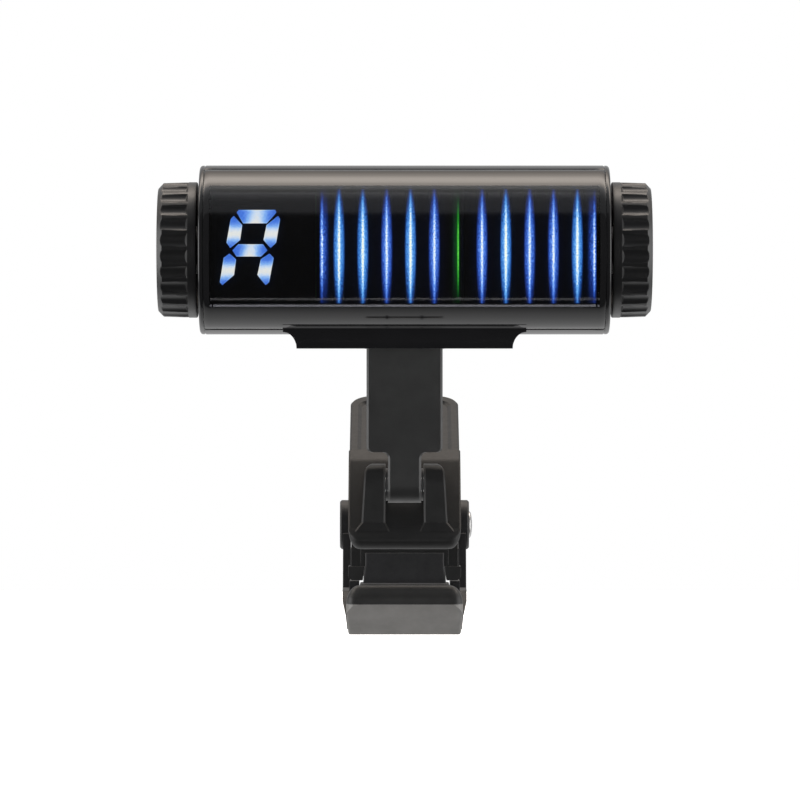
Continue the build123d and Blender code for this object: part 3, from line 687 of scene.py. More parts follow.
def saddle_shape(s):
    """The neck under the barrel. Its underside is flat in the middle and sweeps up in hollow
    curves past its half width and half depth: the height is the larger of the two curves.
    Along the front and the back the curve starts above a small chamfer."""
    bottom = s.saddle_bottom / MM
    half, depth = s.saddle_half / MM, s.saddle_depth / MM
    wide, deep, top = half + 1.9, 5.5, 38.0
    pocket_x, pocket_y, chamfer, rise = 5.65, 3.05, 0.4, 0.7
    ease = 1 - np.cos(np.linspace(0, pi / 2, 14))
    ends = half + (wide - half) * ease
    faces = depth + (deep - depth) * ease
    x = np.concatenate([-ends[::-1], spread([-half, -pocket_x, pocket_x, half], 2.5)[1:-1], ends])
    flat = [chamfer - depth, -pocket_y, -1.5, 0, 1.5, pocket_y, depth - chamfer]
    y = np.concatenate([-faces[::-1], flat, faces])
    across, back = np.meshgrid(x, y)
    end = bottom + 2.3 * hollow_curve((np.abs(across) - half) / (wide - half))
    bevel = rise * np.clip((np.abs(back) - depth + chamfer) / chamfer, 0, 1)
    face = bottom + bevel + (3.3 - rise) * hollow_curve((np.abs(back) - depth) / (deep - depth))
    height = np.maximum(end, face)
    outer = np.stack([across, back + BARREL_AXIS[0], height], -1)
    inner = np.stack([across, back + BARREL_AXIS[0], np.full_like(height, top)], -1)
    middle_x = (across[1:, 1:] + across[1:, :-1]) / 2
    middle_y = (back[1:, 1:] + back[:-1, 1:]) / 2
    keep = ~((np.abs(middle_x) < pocket_x) & (np.abs(middle_y) < pocket_y))
    return slab(outer, inner, keep)


def hinge_housing():
    """The pocket that holds the arm's upper knuckle: an arch over the pin, flared at its mouth."""
    y0, z0 = HEAD_PIN
    arch = np.linspace(0, pi, 25)
    arch = np.stack([y0 + 2.25 * np.cos(arch), z0 + 2.25 * np.sin(arch)], 1)
    foot = z0 - 1.84
    outline = [(y0 - 3.4, z0 + 3.4), (y0 + 3.4, z0 + 3.4), (y0 + 3.4, foot + 0.6), (y0 + 3.03, foot)]
    outline = np.concatenate([outline, arch, [(y0 - 3.03, foot), (y0 - 3.4, foot + 0.6)]])
    ends = [(5.65, 6.85), (-6.85, -5.65)]
    caps = [block(x, (y0 - 3.4, y0 + 3.4), (z0 - 1.2, z0 + 3.4)) for x in ends]
    return [prism(outline[::-1], 0, -5.65, 5.65)] + caps


class TUNER_OT_shell(Operator):
    """Builds the rear shell with its battery opening, its saddle and the arm's hinge pocket"""
    bl_idname = "tuner.shell"
    bl_label = "Rear Housing"

    def execute(self, context):
        s = context.scene.tuner.barrel
        radius, wall = s.radius / MM, s.wall / MM
        span = s.half / MM - s.rim / MM - 0.06
        gap = s.cover + s.seam
        door, door_half = s.door + radians(0.6), s.door_half / MM + 0.12
        pocket = asin_of(2.6 / radius)
        edge = 0.2
        x = spread([-span, -span + edge, -door_half, -5.65, 5.65, door_half, span - edge, span], 3.0)
        down = 3 * pi / 2
        angles = spread([gap, gap + 0.012, pi - door, pi + door, down - pocket, down + pocket,
                         2 * pi - gap - 0.012, 2 * pi - gap], radians(2.5))
        across, up = np.meshgrid(x, angles)
        border = np.minimum(span - np.abs(across), (np.minimum(up - gap, 2 * pi - gap - up)) * radius)
        lip = 0.12 * np.clip(1 - border / edge, 0, 1) ** 2
        outer = around(up, radius - lip, across, BARREL_AXIS)
        inner = around(up, radius - wall, across, BARREL_AXIS)
        middle_x = np.abs(across[1:, 1:] + across[1:, :-1]) / 2
        middle_up = (up[1:, 1:] + up[:-1, 1:]) / 2
        opening = (middle_x < door_half) & (np.abs(middle_up - pi) < door)
        hole = (middle_x < 5.65) & (np.abs(middle_up - down) < pocket)
        shapes = [slab(outer, inner, ~(opening | hole)), saddle_shape(s)] + hinge_housing()
        make_piece("rear_shell_look", "head", shapes, barrel_gloss("Housing gloss"),
                   ["rear_shell"], crease=34)
        return {"FINISHED"}


class TUNER_OT_battery_door(Operator):
    """Builds the curved battery door with three finger grooves near its top edge"""
    bl_idname = "tuner.battery_door"
    bl_label = "Battery Door"

    def execute(self, context):
        s = context.scene.tuner.barrel
        radius, wall = s.radius / MM, s.wall / MM
        half = s.door_half / MM
        edge = 0.2
        x = spread([-half, -half + edge, -5.0, -4.7, 4.7, 5.0, half - edge, half], 2.5)
        angles = spread([pi - s.door, pi - s.door + 0.015, pi - radians(32), pi - radians(8),
                         pi + s.door - 0.015, pi + s.door], radians(0.8))
        across, up = np.meshgrid(x, angles)
        border = np.minimum(half - np.abs(across), (s.door - np.abs(up - pi)) * radius)
        height = radius * np.sin(up)
        groove = sum(np.sqrt(np.clip(0.3 ** 2 - (height - z) ** 2, 0, None)) for z in (2.8, 3.7, 4.6))
        groove = groove * 0.8 * np.clip((5.0 - np.abs(across)) / 0.3, 0, 1)
        lip = 0.12 * np.clip(1 - border / edge, 0, 1) ** 2
        outer = around(up, radius - lip - groove, across, BARREL_AXIS)
        inner = around(up, radius - wall, across, BARREL_AXIS)
        make_piece("battery_door_look", "door", [slab(outer, inner)],
                   barrel_gloss("Door gloss"), ["battery_door"], crease=34)
        return {"FINISHED"}


class TUNER_OT_end_caps(Operator):
    """Builds the two end caps: rimmed discs with a bore for the knob's shaft"""
    bl_idname = "tuner.end_caps"
    bl_label = "End Caps"

    def execute(self, context):
        s = context.scene.tuner.barrel
        radius, half, rim = s.radius / MM, s.half / MM, s.rim / MM
        turn_in = np.linspace(0, pi / 2, 7)
        soft = 0.45
        corner = [(half - soft + soft * sin(t), radius - 0.02 - soft + soft * cos(t)) for t in turn_in]
        outline = [(half - rim - 0.85, 2.06), (half - rim - 0.85, radius - 2.3),
                   (half - rim - 0.85, radius - 1.3), (half - rim, radius - 1.3), (half - rim, radius - 0.02)]
        outline += corner
        outline += [(half, 9.4), (half, 6.0), (half, 2.06)]
        angles = np.linspace(0, 2 * pi, 160, endpoint=False)
        rings = [around(angles, r, x, BARREL_AXIS) for x, r in outline]
        cap = hoop(rings)
        material = barrel_gloss("Cap gloss")
        make_piece("right_end_cap_look", "head", [cap], material, ["right_end_cap"])
        make_piece("left_end_cap_look", "head", [mirrored(cap)], material, ["left_end_cap"])
        return {"FINISHED"}


class TUNER_OT_knobs(Operator):
    """Builds the two fluted end knobs, each with a plain ring and a recessed face"""
    bl_idname = "tuner.knobs"
    bl_label = "Knobs"

    def execute(self, context):
        s = context.scene.tuner.knob
        inner, outer = s.inner / MM, s.outer / MM
        radius, ring = s.radius / MM, s.ring / MM
        groove, depth = s.flute_radius / MM, s.flute_depth / MM
        ring_end = inner + 1.2
        steps = np.linspace(0, 1, 9)[1:]
        plain = [(inner, 8.3), (inner, ring - 0.15), (inner + 0.05, ring - 0.05), (inner + 0.15, ring),
                 (ring_end - 0.3, ring), (ring_end, ring)]
        fluted = [(ring_end + 0.5 * t, radius) for t in steps]
        fluted += [(ring_end + 0.5 + (outer - 1.25 - ring_end) * t, radius - 0.1 * t) for t in steps]
        fluted += [(outer - 0.75 + 0.75 * t, radius - 0.1 - 0.8 * t) for t in steps]
        face = [(outer, 8.45), (outer, 7.35), (outer - 0.05, 7.22), (outer - 0.26, 6.98), (outer - 0.3, 6.9),
                (outer - 0.3, 5.0), (outer - 0.3, 2.5), (outer - 0.3, 0.02)]
        back = [(outer - 1.35, 0.02), (outer - 1.35, 2.01), (inner + 0.1, 2.01), (inner + 0.1, 3.4),
                (outer - 1.6, 3.4), (outer - 1.6, 8.3)]
        count = s.flutes * 20
        angles = np.linspace(0, 2 * pi, count, endpoint=False)
        pitch = 2 * pi / s.flutes
        off = (angles % pitch) - pitch / 2
        reach = radius - depth + groove
        inside = np.clip(groove ** 2 - (reach * np.sin(off)) ** 2, 0, None)
        hollow = np.where(inside > 0, reach * np.cos(off) - np.sqrt(inside), radius + 1)
        rings = []
        for x, r in plain + fluted + face + back:
            if (x, r) in fluted:
                run = radius * max(0.0, 1 - (x - ring_end) / 0.5)
                r = np.minimum(r, np.maximum(hollow, ring - 1.15 * (x - ring_end)) if run else hollow)
            rings.append(around(angles, r, x, BARREL_AXIS))
        knob = hoop(rings)
        material = moulded("Knob satin", (0.012, 0.012, 0.0125), (0.3, 0.38), 0.18, 4200, 0.012).material
        make_piece("right_knob_look", "right_dial", [knob], material, ["right_knob"], crease=28)
        make_piece("left_knob_look", "left_dial", [mirrored(knob)], material, ["left_knob"],
                   crease=28)
        return {"FINISHED"}


def leaning(points, s, y):
    """Flat (x, z) points of the upright letter, leant by the slant and set at a depth."""
    points = np.asarray(points, float)
    x = s.letter / MM + points[:, 0] + points[:, 1] * np.tan(s.slant)
    return np.stack([x, np.full(len(points), y), BARREL_AXIS[1] - 0.13 + points[:, 1]], 1)


# The letter's segments as flat (x, z) outlines round its middle, before it leans.
UPRIGHT = [(-3.13, 4.72), (-1.72, 3.45), (-1.65, 1.40), (-2.85, 0.28), (-3.5, 1.04), (-3.48, 4.25)]
LOWER_UPRIGHT = [(-2.82, -0.5), (-1.75, -1.3), (-1.65, -3.47), (-3.06, -4.85), (-3.47, -4.45), (-3.52, -1.1)]
TOP_BAR = [(-2.55, 5.53), (2.55, 5.53), (2.8, 5.2), (1.7, 3.7), (-1.62, 3.7), (-2.8, 5.2)]
MIDDLE_BAR = [(-2.48, -0.05), (-1.8, 0.79), (1.68, 0.79), (2.45, -0.05), (1.7, -0.9), (-1.75, -0.9)]


# The bars that are lit paler than the rest, by number from the left, and how bright each is.
PALER_BARS = {0: 1.0, 1: 1.0, 3: 1.02, 7: 1.03, 10: 1.0}


def sliced(outline, along):
    """A grid over a convex outline: stations run along one of its axes, and each is divided
    evenly between the outline's two chains there. Returns the grid, the shares across and those along."""
    outline = np.asarray(outline, float)
    place, other = outline[:, along], outline[:, 1 - along]
    stations = spread(np.unique(place.round(6)), 0.16)
    start = int(np.argmin(place))
    order = np.roll(np.arange(len(place)), -start)
    stop = int(np.argmax(place[order]))
    one, two = order[:stop + 1], np.append(order[stop:], order[0])[::-1]
    low = np.interp(stations, place[one], other[one])
    high = np.interp(stations, place[two], other[two])
    share = np.linspace(0, 1, 13)
    across = low[:, None] + (high - low)[:, None] * share
    grid = np.empty(across.shape + (2,))
    grid[..., 1 - along] = across
    grid[..., along] = stations[:, None]
    return grid, share, (stations - stations[0]) / (stations[-1] - stations[0])


class TUNER_OT_display(Operator):
    """Builds what shows through the cover: the lit letter, the strobe bars and the sheet behind them"""
    bl_idname = "tuner.display"
    bl_label = "Display"

    def letter(self, s, front):
        """Six lit segments; each is palest in a band across its middle and at its very edges."""
        outlines = [(TOP_BAR, 0), (MIDDLE_BAR, 0)]
        for outline in (UPRIGHT, LOWER_UPRIGHT):
            outlines += [(outline, 1), ([(-x, z) for x, z in outline], 1)]
        shapes, marks = [], []
        for outline, along in outlines:
            grid, share, run = sliced(outline, along)
            rim = np.minimum(share, 1 - share)[None, :] * np.ones(len(run))[:, None]
            band = np.exp(-((run - (0.52 if along == 0 else 0.45)) / 0.24) ** 2)[:, None]
            if along == 0:
                band = band * (0.75 + 0.25 * share[None, :])
            warmth = 0.34 + 0.56 * band + 0.16 * np.exp(-(rim / 0.05) ** 2)
            flat = leaning(grid.reshape(-1, 2), s, 0.0).reshape(grid.shape[:2] + (3,))
            outer, inner = flat.copy(), flat.copy()
            outer[..., 1] = front
            inner[..., 1] = front + 0.4
            shapes.append(slab(outer, inner))
            marks.append(np.concatenate([warmth.ravel(), 0 * warmth.ravel()]))
        make_piece("letter_look", "head", shapes, letter_light(), ["digit_segments"],
                   marks={"warmth": marks})

    def strobe(self, s, low, high):
        """The light guide as one sheet with a rounded rib before each lamp. The light on it is summed bar
        by bar: a lens-shaped body whose half width follows the root of one less the height squared,
        a thin core that fades to the ends, and a faint halo."""
        rise, half = s.rise / MM, s.bar_half / MM
        front = low[1] + 0.75
        centres = s.first / MM + s.pitch / MM * np.arange(s.bars)
        x = np.arange(low[0], high[0] + 0.04, 0.075)
        x = x[x <= high[0]]
        z = np.sin(np.linspace(-pi / 2, pi / 2, 61)) * rise
        across, up = np.meshgrid(x, z)
        tall = np.clip(1 - (up / rise) ** 2, 0, 1)
        wide = 1.08 * half * tall ** 0.45 + 1e-3
        blue, green, azure = 0 * across, 0 * across, 0 * across
        bulge = 0 * across
        for i, centre in enumerate(centres):
            off = across - centre
            body = np.clip(1 - (np.abs(off) / wide) ** 3.5, 0, 1) ** 0.7
            core = np.exp(-(off / 0.17) ** 2)
            halo = np.exp(-(off / 1.0) ** 2)
            bulge = np.maximum(bulge, 0.5 * np.sqrt(np.clip(1 - (off / 0.75) ** 2, 0, 1)))
            if i == s.green:
                shade = np.exp(-((off + 0.25) / 0.5) ** 2) * (off < 0.3)
                green += 0.30 * shade * tall + 0.70 * np.exp(-(off / 0.12) ** 2) * tall ** 1.3
                continue
            level = PALER_BARS.get(i, 0.9)
            light = level * (0.50 * body * tall ** 0.8 + 0.52 * core * tall ** 0.55 + 0.10 * halo * tall)
            blue += light
            azure = np.where(np.abs(off) < 1.6, 1.0 if i in PALER_BARS else 0.0, azure)
        for centre, side in ((centres[0] - 2.4, -1), (centres[-1] + 2.4, 1)):
            off = (across - centre) * side
            lit = (off < 0.32) & (off > -1.2)
            body = 0.44 * np.exp(-(np.minimum(off, 0) / 0.85) ** 4)
            core = 0.5 * np.exp(-(off / 0.15) ** 2)
            blue += (body * tall + core * tall) * lit
        face = np.stack([across, front - bulge, BARREL_AXIS[1] + up], -1)
        back = np.stack([across, np.full_like(across, high[1]), BARREL_AXIS[1] + up], -1)
        marks = {name: [np.concatenate([value.ravel(), 0 * value.ravel()])]
                 for name, value in (("warmth", blue), ("green", green), ("azure", azure))}
        make_piece("strobe_look", "head", [slab(face, back)], strobe_light(),
                   ["strobe_light_guide"], marks=marks, crease=60)

    def execute(self, context):
        s = context.scene.tuner.display
        self.strobe(s, *extent("strobe_light_guide"))
        self.letter(s, extent("digit_segments")[0][1] + 0.02)
        sheet_black = moulded("Mask sheet", (0.003, 0.003, 0.004), (0.5, 0.6), 0.1, 3000, 0.01)
        dress(sheet_black.material, "display_mask", "digit_display")
        return {"FINISHED"}


class TUNER_OT_arm(Operator):
    """Builds the arm between the clip and the barrel: a flat band, a tongue and two knuckles"""
    bl_idname = "tuner.arm"
    bl_label = "Arm"

    def execute(self, context):
        half, tongue, thin, knuckle, head = 5.4, 2.35, 1.3, 2.6, 2.0
        shoulder, outer_r, root_r, edge = 18.6, 0.75, 0.9, 0.3
        foot, top = ARM_PIN[1], HEAD_PIN[1]
        turn_up = np.linspace(0, pi / 2, 9)
        z = np.concatenate([
            foot - knuckle * np.cos(np.linspace(0.12, pi / 2, 11)), [15.0, 16.0, 17.0],
            shoulder - root_r + root_r * np.sin(turn_up), shoulder + outer_r * (1 - np.cos(turn_up)),
            np.linspace(20, 33, 14), top + head * np.sin(np.linspace(-0.85, pi / 2 - 0.12, 14))])
        wide = np.full(len(z), half)
        straight = 14
        root = slice(straight, straight + len(turn_up))
        outer = slice(root.stop, root.stop + len(turn_up))
        wide[:straight] = tongue
        rise = z[root] - shoulder + root_r
        wide[root] = tongue + root_r - np.sqrt(np.clip(root_r ** 2 - rise ** 2, 0, None))
        wide[outer] = half - outer_r + outer_r * np.sin(turn_up)
        ease = np.clip((z - foot) / 15.0, 0, 1)
        thick = knuckle + (thin - knuckle) * ease ** 2 * (3 - 2 * ease)
        thick = np.where(z < foot, np.sqrt(np.clip(knuckle ** 2 - (z - foot) ** 2, 0, None)), thick)
        thick = np.maximum(thick, np.sqrt(np.clip(head ** 2 - (z - top) ** 2, 0, None)) * (z > top - head))
        soft = np.minimum(edge, thick * 0.5)
        y = ARM_PIN[0]
        rings = [[(-w, y - t + c, h), (c - w, y - t, h), (w - c, y - t, h), (w, y - t + c, h),
                  (w, y + t - c, h), (w - c, y + t, h), (c - w, y + t, h), (-w, y + t - c, h)]
                 for h, w, t, c in zip(z, wide, thick, soft)]
        arm = moulded("Arm satin", (0.026, 0.026, 0.026), (0.36, 0.46), 0.2, 5200, 0.012).material
        make_piece("arm_look", "arm_link", [loft(rings)], arm, ["arm"], crease=30)
        return {"FINISHED"}


def deck_shape(s):
    """The sloping deck, in cross-sections along Y. In plan its front corners are round, and its
    front and sides curve under like a bowl: at an inset d from the edge, the height below the
    edge follows a quarter of an ellipse that is full at 1.5 mm."""
    half, r, reach, edge = s.deck_half / MM, 1.9, 1.5, 0.22
    depths = [1.004, 1.05, 1.15, 1.3, 1.5, 1.75, 2.05, 2.3, 2.5, 2.9, 3.6, 5, 7, 9.5, 11.6, 12.0, 12.4, 14.6]
    rings = []
    for y in depths:
        top = float(np.interp(y, [1.0, 12.0, 14.6], [6.5, 17.5, 18.9])) - max(0.0, 1.15 - y)
        low = float(np.interp(y, [1.0, 2.6, 12.6, 14.8], [4.9, 4.9, 15.1, 16.5]))
        most = min(reach, y - 1.0) if y < 2.6 else float(np.interp(y, [2.6, 7.0], [reach, 0.5]))
        inset = most * (1 - np.cos(np.linspace(0, pi / 2, 8)))
        full = reach if y < 2.6 else most
        height = top - edge - (top - edge - low) * np.sqrt(1 - (1 - inset / full) ** 2)
        short = max(0.0, 1.0 + r - y)
        wide = half - r + np.sqrt(np.clip((r - inset) ** 2 - short ** 2, 0, None))
        side = [(w, y, z) for w, z in zip(wide, height)]
        rim = [(wide[0] - edge, y, top)]
        right = rim + side
        rings.append(right + [(-x, v, z) for x, v, z in right[::-1]])
    return loft(rings)


def ear_shape():
    """A lug round the arm's pin, in level sections. It widens a little toward the deck, its front
    follows a circle round the pin at the top, its outer shoulder is a quarter circle of 1.2 mm, and
    its foot flares over the last 0.9 mm."""
    y0, z0 = ARM_PIN
    r, foot, chamfer = 2.9, 8.65, 0.25
    crown = z0 + r * np.sin(np.linspace(0, pi / 2 - 0.1, 12))
    z = np.concatenate([[7.4, 7.9, 8.3, foot, foot + 0.1, 10, 12], crown])
    flare = np.clip(foot - z, 0, None)
    shoulder = 1.2 * (1 - np.sqrt(np.clip(1 - np.clip((z - 15.7) / 1.2, 0, 1) ** 2, 0, 1)))
    outer = 5.62 + (16.9 - z) * 0.06 + flare * 0.75 - shoulder
    inner = 2.72 - flare * 0.55
    front = y0 - np.sqrt(np.clip(r ** 2 - np.clip(z - z0, 0, None) ** 2, 0, None)) - flare * 0.6
    back = z - 4.5
    rings = [[(a, q, h), (a, p + chamfer, h), (a + chamfer, p, h),
              (b - chamfer, p, h), (b, p + chamfer, h), (b, q, h)]
             for h, a, b, p, q in zip(z, inner, outer, front, back)]
    return loft(rings)


def handle_shape(s):
    """The thumb handle: cross-sections along its length, each a plate with two rims and a groove.
    Past its last 3.2 mm the half width follows a quarter circle, and the groove ends in one of 2.4 mm."""
    start, end = np.array((13.6, 17.2)), np.array((37.6, 26.6))
    length = float(np.linalg.norm(end - start))
    along, up = (end - start) / length, np.array((-(end - start)[1], (end - start)[0])) / length
    half, corner, groove_corner = s.handle_half / MM, 3.2, 2.4
    groove_end = length - 1.6
    t = np.linspace(0.0, pi / 2 - 0.18, 12)
    v = np.unique(np.concatenate([np.linspace(0, length - corner - 1.4, 12),
                                  length - corner + corner * np.sin(t),
                                  groove_end - groove_corner + groove_corner * np.sin(t),
                                  [groove_end, length - 0.02]]).round(4))
    past = np.clip(v - (length - corner), 0, corner)
    wide = half - corner + np.sqrt(np.clip(corner ** 2 - past ** 2, 0.05, None))
    past = np.clip(v - (groove_end - groove_corner), 0, groove_corner)
    hollow = 6.4 - groove_corner + np.sqrt(np.clip(groove_corner ** 2 - past ** 2, 0.0, None))
    deep = 0.4 * np.clip((groove_end - v) / 0.5, 0, 1)
    rings = []
    for place, w, g, d in zip(v, wide, hollow, deep):
        section = [(-w + 0.25, -2.2), (w - 0.25, -2.2), (w, -1.95), (w, -0.25), (w - 0.25, 0), (g + 0.4, 0),
                   (g - 0.15, -d), (0.15 - g, -d), (-g - 0.4, 0), (0.25 - w, 0), (-w, -0.25), (-w, -1.95)]
        rings.append([(x, *(start + along * place + up * n)) for x, n in section])
    shapes = [loft(rings)]
    for i in range(5):
        base = length - 4.0 - 1.5 * i
        outline = [(base, -0.6), (base + 0.6, -0.6), (base + 0.45, -0.06), (base + 0.15, -0.06)]
        outline = [start + along * a + up * b for a, b in outline]
        shapes.append(prism(outline, 0, -4.6, 4.6))
    return shapes


class TUNER_OT_upper_lever(Operator):
    """Builds the upper lever: deck, ears, thumb handle, side walls and jaw"""
    bl_idname = "tuner.upper_lever"
    bl_label = "Upper Lever"

    def execute(self, context):
        s = context.scene.tuner.clip
        wall = [(2.7, 4.9), (12.8, 15.9), (27.5, 20.8), (PIVOT[0] + 3.3, PIVOT[1]),
                (PIVOT[0], PIVOT[1] - 3.3), (13.0, 2.4), (3.2, 2.4)]
        shapes = pair(prism(wall, 0, 6.2, 7.55)) + pair(round_bar(3.4, PIVOT, 6.2, 7.55))
        shapes += [block((-7.55, 7.55), (3.2, 13.0), (2.4, 5.1)), block((-6.6, 6.6), (12.65, 13.2), (0.8, 2.5))]
        shapes += pair(block((5.9, 7.7), (3.3, 9.0), (2.3, 5.0)))
        ledge = [(5.93, 0.45), (5.66, 2.45), (7.98, 2.45), (7.98, 1.0), (7.5, 0.45)]
        ledges = pair(prism(rounded(ledge, [0.1, 0.1, 0.1, 0.3, 0.3], 4), 1, 3.0, 8.6))
        black = moulded("Lever satin", (0.018, 0.018, 0.018), (0.4, 0.48), 0.2, 5200, 0.012,
                        shine=0.22).material
        body, slot, node = "clip_lever", "lever_black", ["upper_lever"]
        make_piece("deck_look", body, [deck_shape(s)], black, node, crease=32)
        make_piece("ears_look", body, pair(ear_shape()), black, node, crease=28)
        make_piece("handle_look", body, handle_shape(s), black, node, crease=30)
        make_piece("lever_walls_look", body, shapes, black, node, bevel=0.15)
        make_piece("ledges_look", body, ledges, black, node, bevel=0.12)
        return {"FINISHED"}


def plate_shape(s):
    """A side plate: its top edge follows straight runs over Y, and its outer face leans in
    below the bend at -2.6, by 0.7 mm over 2.9 mm."""
    inside, outside = s.plate_in / MM, s.plate_out / MM
    bends = [5.5, 9.5, 13.6, 16.5, 20.0, 23.4, 27.5, 35.0]
    y = spread(bends, 1.2)
    top = np.interp(y, bends, [-4.0, -1.2, -0.9, 6.8, 8.0, 6.6, -2.4, -3.4])
    levels = [np.full_like(y, -6.6), np.full_like(y, -5.5), np.minimum(top - 0.05, -2.6), top]
    z = np.array(levels)
    depth = np.broadcast_to(y, z.shape)
    lean = 0.7 * np.clip((-2.6 - z) / 2.9, 0, 1)
    outer = np.stack([outside - lean, depth, z], -1)
    inner = np.stack([np.full_like(z, inside), depth, z], -1)
    return slab(outer, inner)


class TUNER_OT_lower_lever(Operator):
    """Builds the lower lever: two side plates with bosses, and the floor that is its handle"""
    bl_idname = "tuner.lower_lever"
    bl_label = "Lower Lever"

    def execute(self, context):
        s = context.scene.tuner.clip
        inside, boss_out = s.plate_in / MM, PIN_HIGH[0] - 0.45
        foot, shoulder, corner = 8.15, 8.37, 3.2
        back = 39.4
        t = np.linspace(0, pi / 2 - 0.2, 10)
        y = np.concatenate([[5.5, 14, 22, 30], back - corner + corner * np.sin(t), [back]])
        past = np.clip(y - (back - corner), 0, corner)
        narrow = corner - np.sqrt(np.clip(corner ** 2 - past ** 2, 0.1, None))
        floor = loft([[(-foot + n, v, -6.6), (foot - n, v, -6.6),
                       (shoulder - n, v, -4.6), (-shoulder + n, v, -4.6)]
                      for v, n in zip(y, narrow)])
        ridges = []
        for i in range(5):
            base = 31.5 + 1.5 * i
            outline = [(base, -6.5), (base + 0.6, -6.5), (base + 0.45, -6.92), (base + 0.15, -6.92)]
            ridges.append(prism(outline, 0, -5.0, 5.0))
        chin = block((-7.0, 7.0), (5.5, 13.0), (-4.7, -1.9))
        rails = pair(block((6.45, inside + 0.1), (5.5, 13.0), (-4.7, 0.3)))
        plain = moulded("Plate grain", (0.020, 0.020, 0.021), (0.5, 0.62), 0.5, 3600, 0.03).material
        body, slot, node = "clip_base", "plate_black", ["lower_lever"]
        bosses = pair(round_bar(3.55, PIVOT, inside, boss_out, 0.25))
        make_piece("side_plates_look", body, pair(plate_shape(s)), plain, node, bevel=0.2)
        make_piece("bosses_look", body, bosses, plain, node, crease=30)
        make_piece("floor_look", body, [floor, chin] + rails + ridges, plain, node, bevel=0.2)
        return {"FINISHED"}


def cut_plan(half, front, r, cut, back):
    """A plan outline whose front corners are arcs, cut off by a straight front: each arc's half
    width at depth y is the half width less r plus the root of r squared less its shortfall squared."""
    y = np.linspace(cut, max(front + r, cut + 0.01), 10)
    short = np.clip(front + r - y, 0, r)
    wide = half - r + np.sqrt(r ** 2 - short ** 2)
    right = list(zip(wide, y)) + [(half, back)]
    return right + [(-x, v) for x, v in right[::-1]]


def soft_rectangle(half, front, back, front_radius, back_radius):
    """A plan outline with its front corners rounded by one radius and its back ones by another."""
    corners = [(-half, back), (-half, front), (half, front), (half, back)]
    return rounded(corners, [back_radius, front_radius, front_radius, back_radius], 8)


class TUNER_OT_jaws(Operator):
    """Builds the lower jaw block and the two rubber pads"""
    bl_idname = "tuner.jaws"
    bl_label = "Jaws"

    def execute(self, context):
        s = context.scene.tuner.clip
        half, front, r, back = s.jaw_half / MM, -0.45, 2.2, 5.4
        nose_z, nose_rise, slope = -2.84, 2.64, 1.222
        chin_levels = (-7.3, -7.2, -7.0, -6.2, -5.4, -4.7, -4.1, -3.6, -3.2, -2.95, nose_z)
        nose_levels = (-2.7, -2.4, -2.1, -1.9, -1.9, -1.5, -1.1, -0.8, -0.6, -0.45, -0.34, -0.26, -0.22, -0.2)
        rings = []
        for z in chin_levels:
            cut = front + slope * (nose_z - z)
            wide = half - 0.08 * max(0.0, -4 - z) - 0.15 * max(0.0, -7.1 - z) / 0.2
            small = float(np.interp(cut, [1.35, 3.0], [0.05, 0.45]))
            corner = (front, r) if cut < 1.35 else (cut, small)
            rings.append(placed(cut_plan(wide, *corner, cut, back), 2, z))
        for number, z in enumerate(nose_levels):
            t = (z - nose_z) / nose_rise
            nose = front + 1.35 * t ** 3.2
            wide = half - 1.8 * (1 - sqrt(max(0.0, 1 - t * t)))
            shown = 1.42 if number > 3 else back
            rings.append(placed(cut_plan(wide, nose, min(r, 1.4 - nose), nose, shown), 2, z))
        joint = len(chin_levels)
        # Painted reflection: the chin is the same black plastic as the nose; its warm light grey colour stands
        # in for the pale floor it reflects.
        chin_painted_reflection = moulded("Chin painted reflection", (0.20, 0.192, 0.182), (0.32, 0.4), 0.15, 4200, 0.012).material
        black = moulded("Nose satin", (0.026, 0.0255, 0.025), (0.34, 0.42), 0.15, 4200, 0.012,
                        shine=0.3).material
        make_piece("chin_look", "clip_base", [loft(rings[:joint])], chin_painted_reflection, ["lower_jaw"], crease=30)
        make_piece("nose_look", "clip_base", [loft(rings[joint - 1:])], black,
                   ["lower_jaw"], crease=30)
        rubber = moulded("Pad rubber", (0.020, 0.020, 0.021), (0.62, 0.75), 0.5, 2600, 0.03).material
        rows = [(0.05, 2.0, 12.6), (0.15, 1.82, 12.6)]
        rows += [(z, 1.7, 12.6) for z in (0.35, 1.0, 1.7, 2.3)]
        rows += [(z, 1.7, 3.1) for z in (2.3, 2.9, 3.6, 4.35)]
        rings = []
        for z, front, back in rows:
            wide = min(5.85, 16.55 - sqrt(121 - (z - 3.4) ** 2))
            rings.append(placed(soft_rectangle(wide, front, back, 0.3, 0.3), 2, z))
        make_piece("upper_pad_look", "clip_lever", [loft(rings)], rubber, ["upper_pad"])
        lower = prism(soft_rectangle(6.35, 1.45, 12.6, 0.8, 0.8), 2, -1.85, -0.05)
        make_piece("lower_pad_look", "clip_base", [lower], rubber, ["lower_pad"], bevel=0.15)
        return {"FINISHED"}


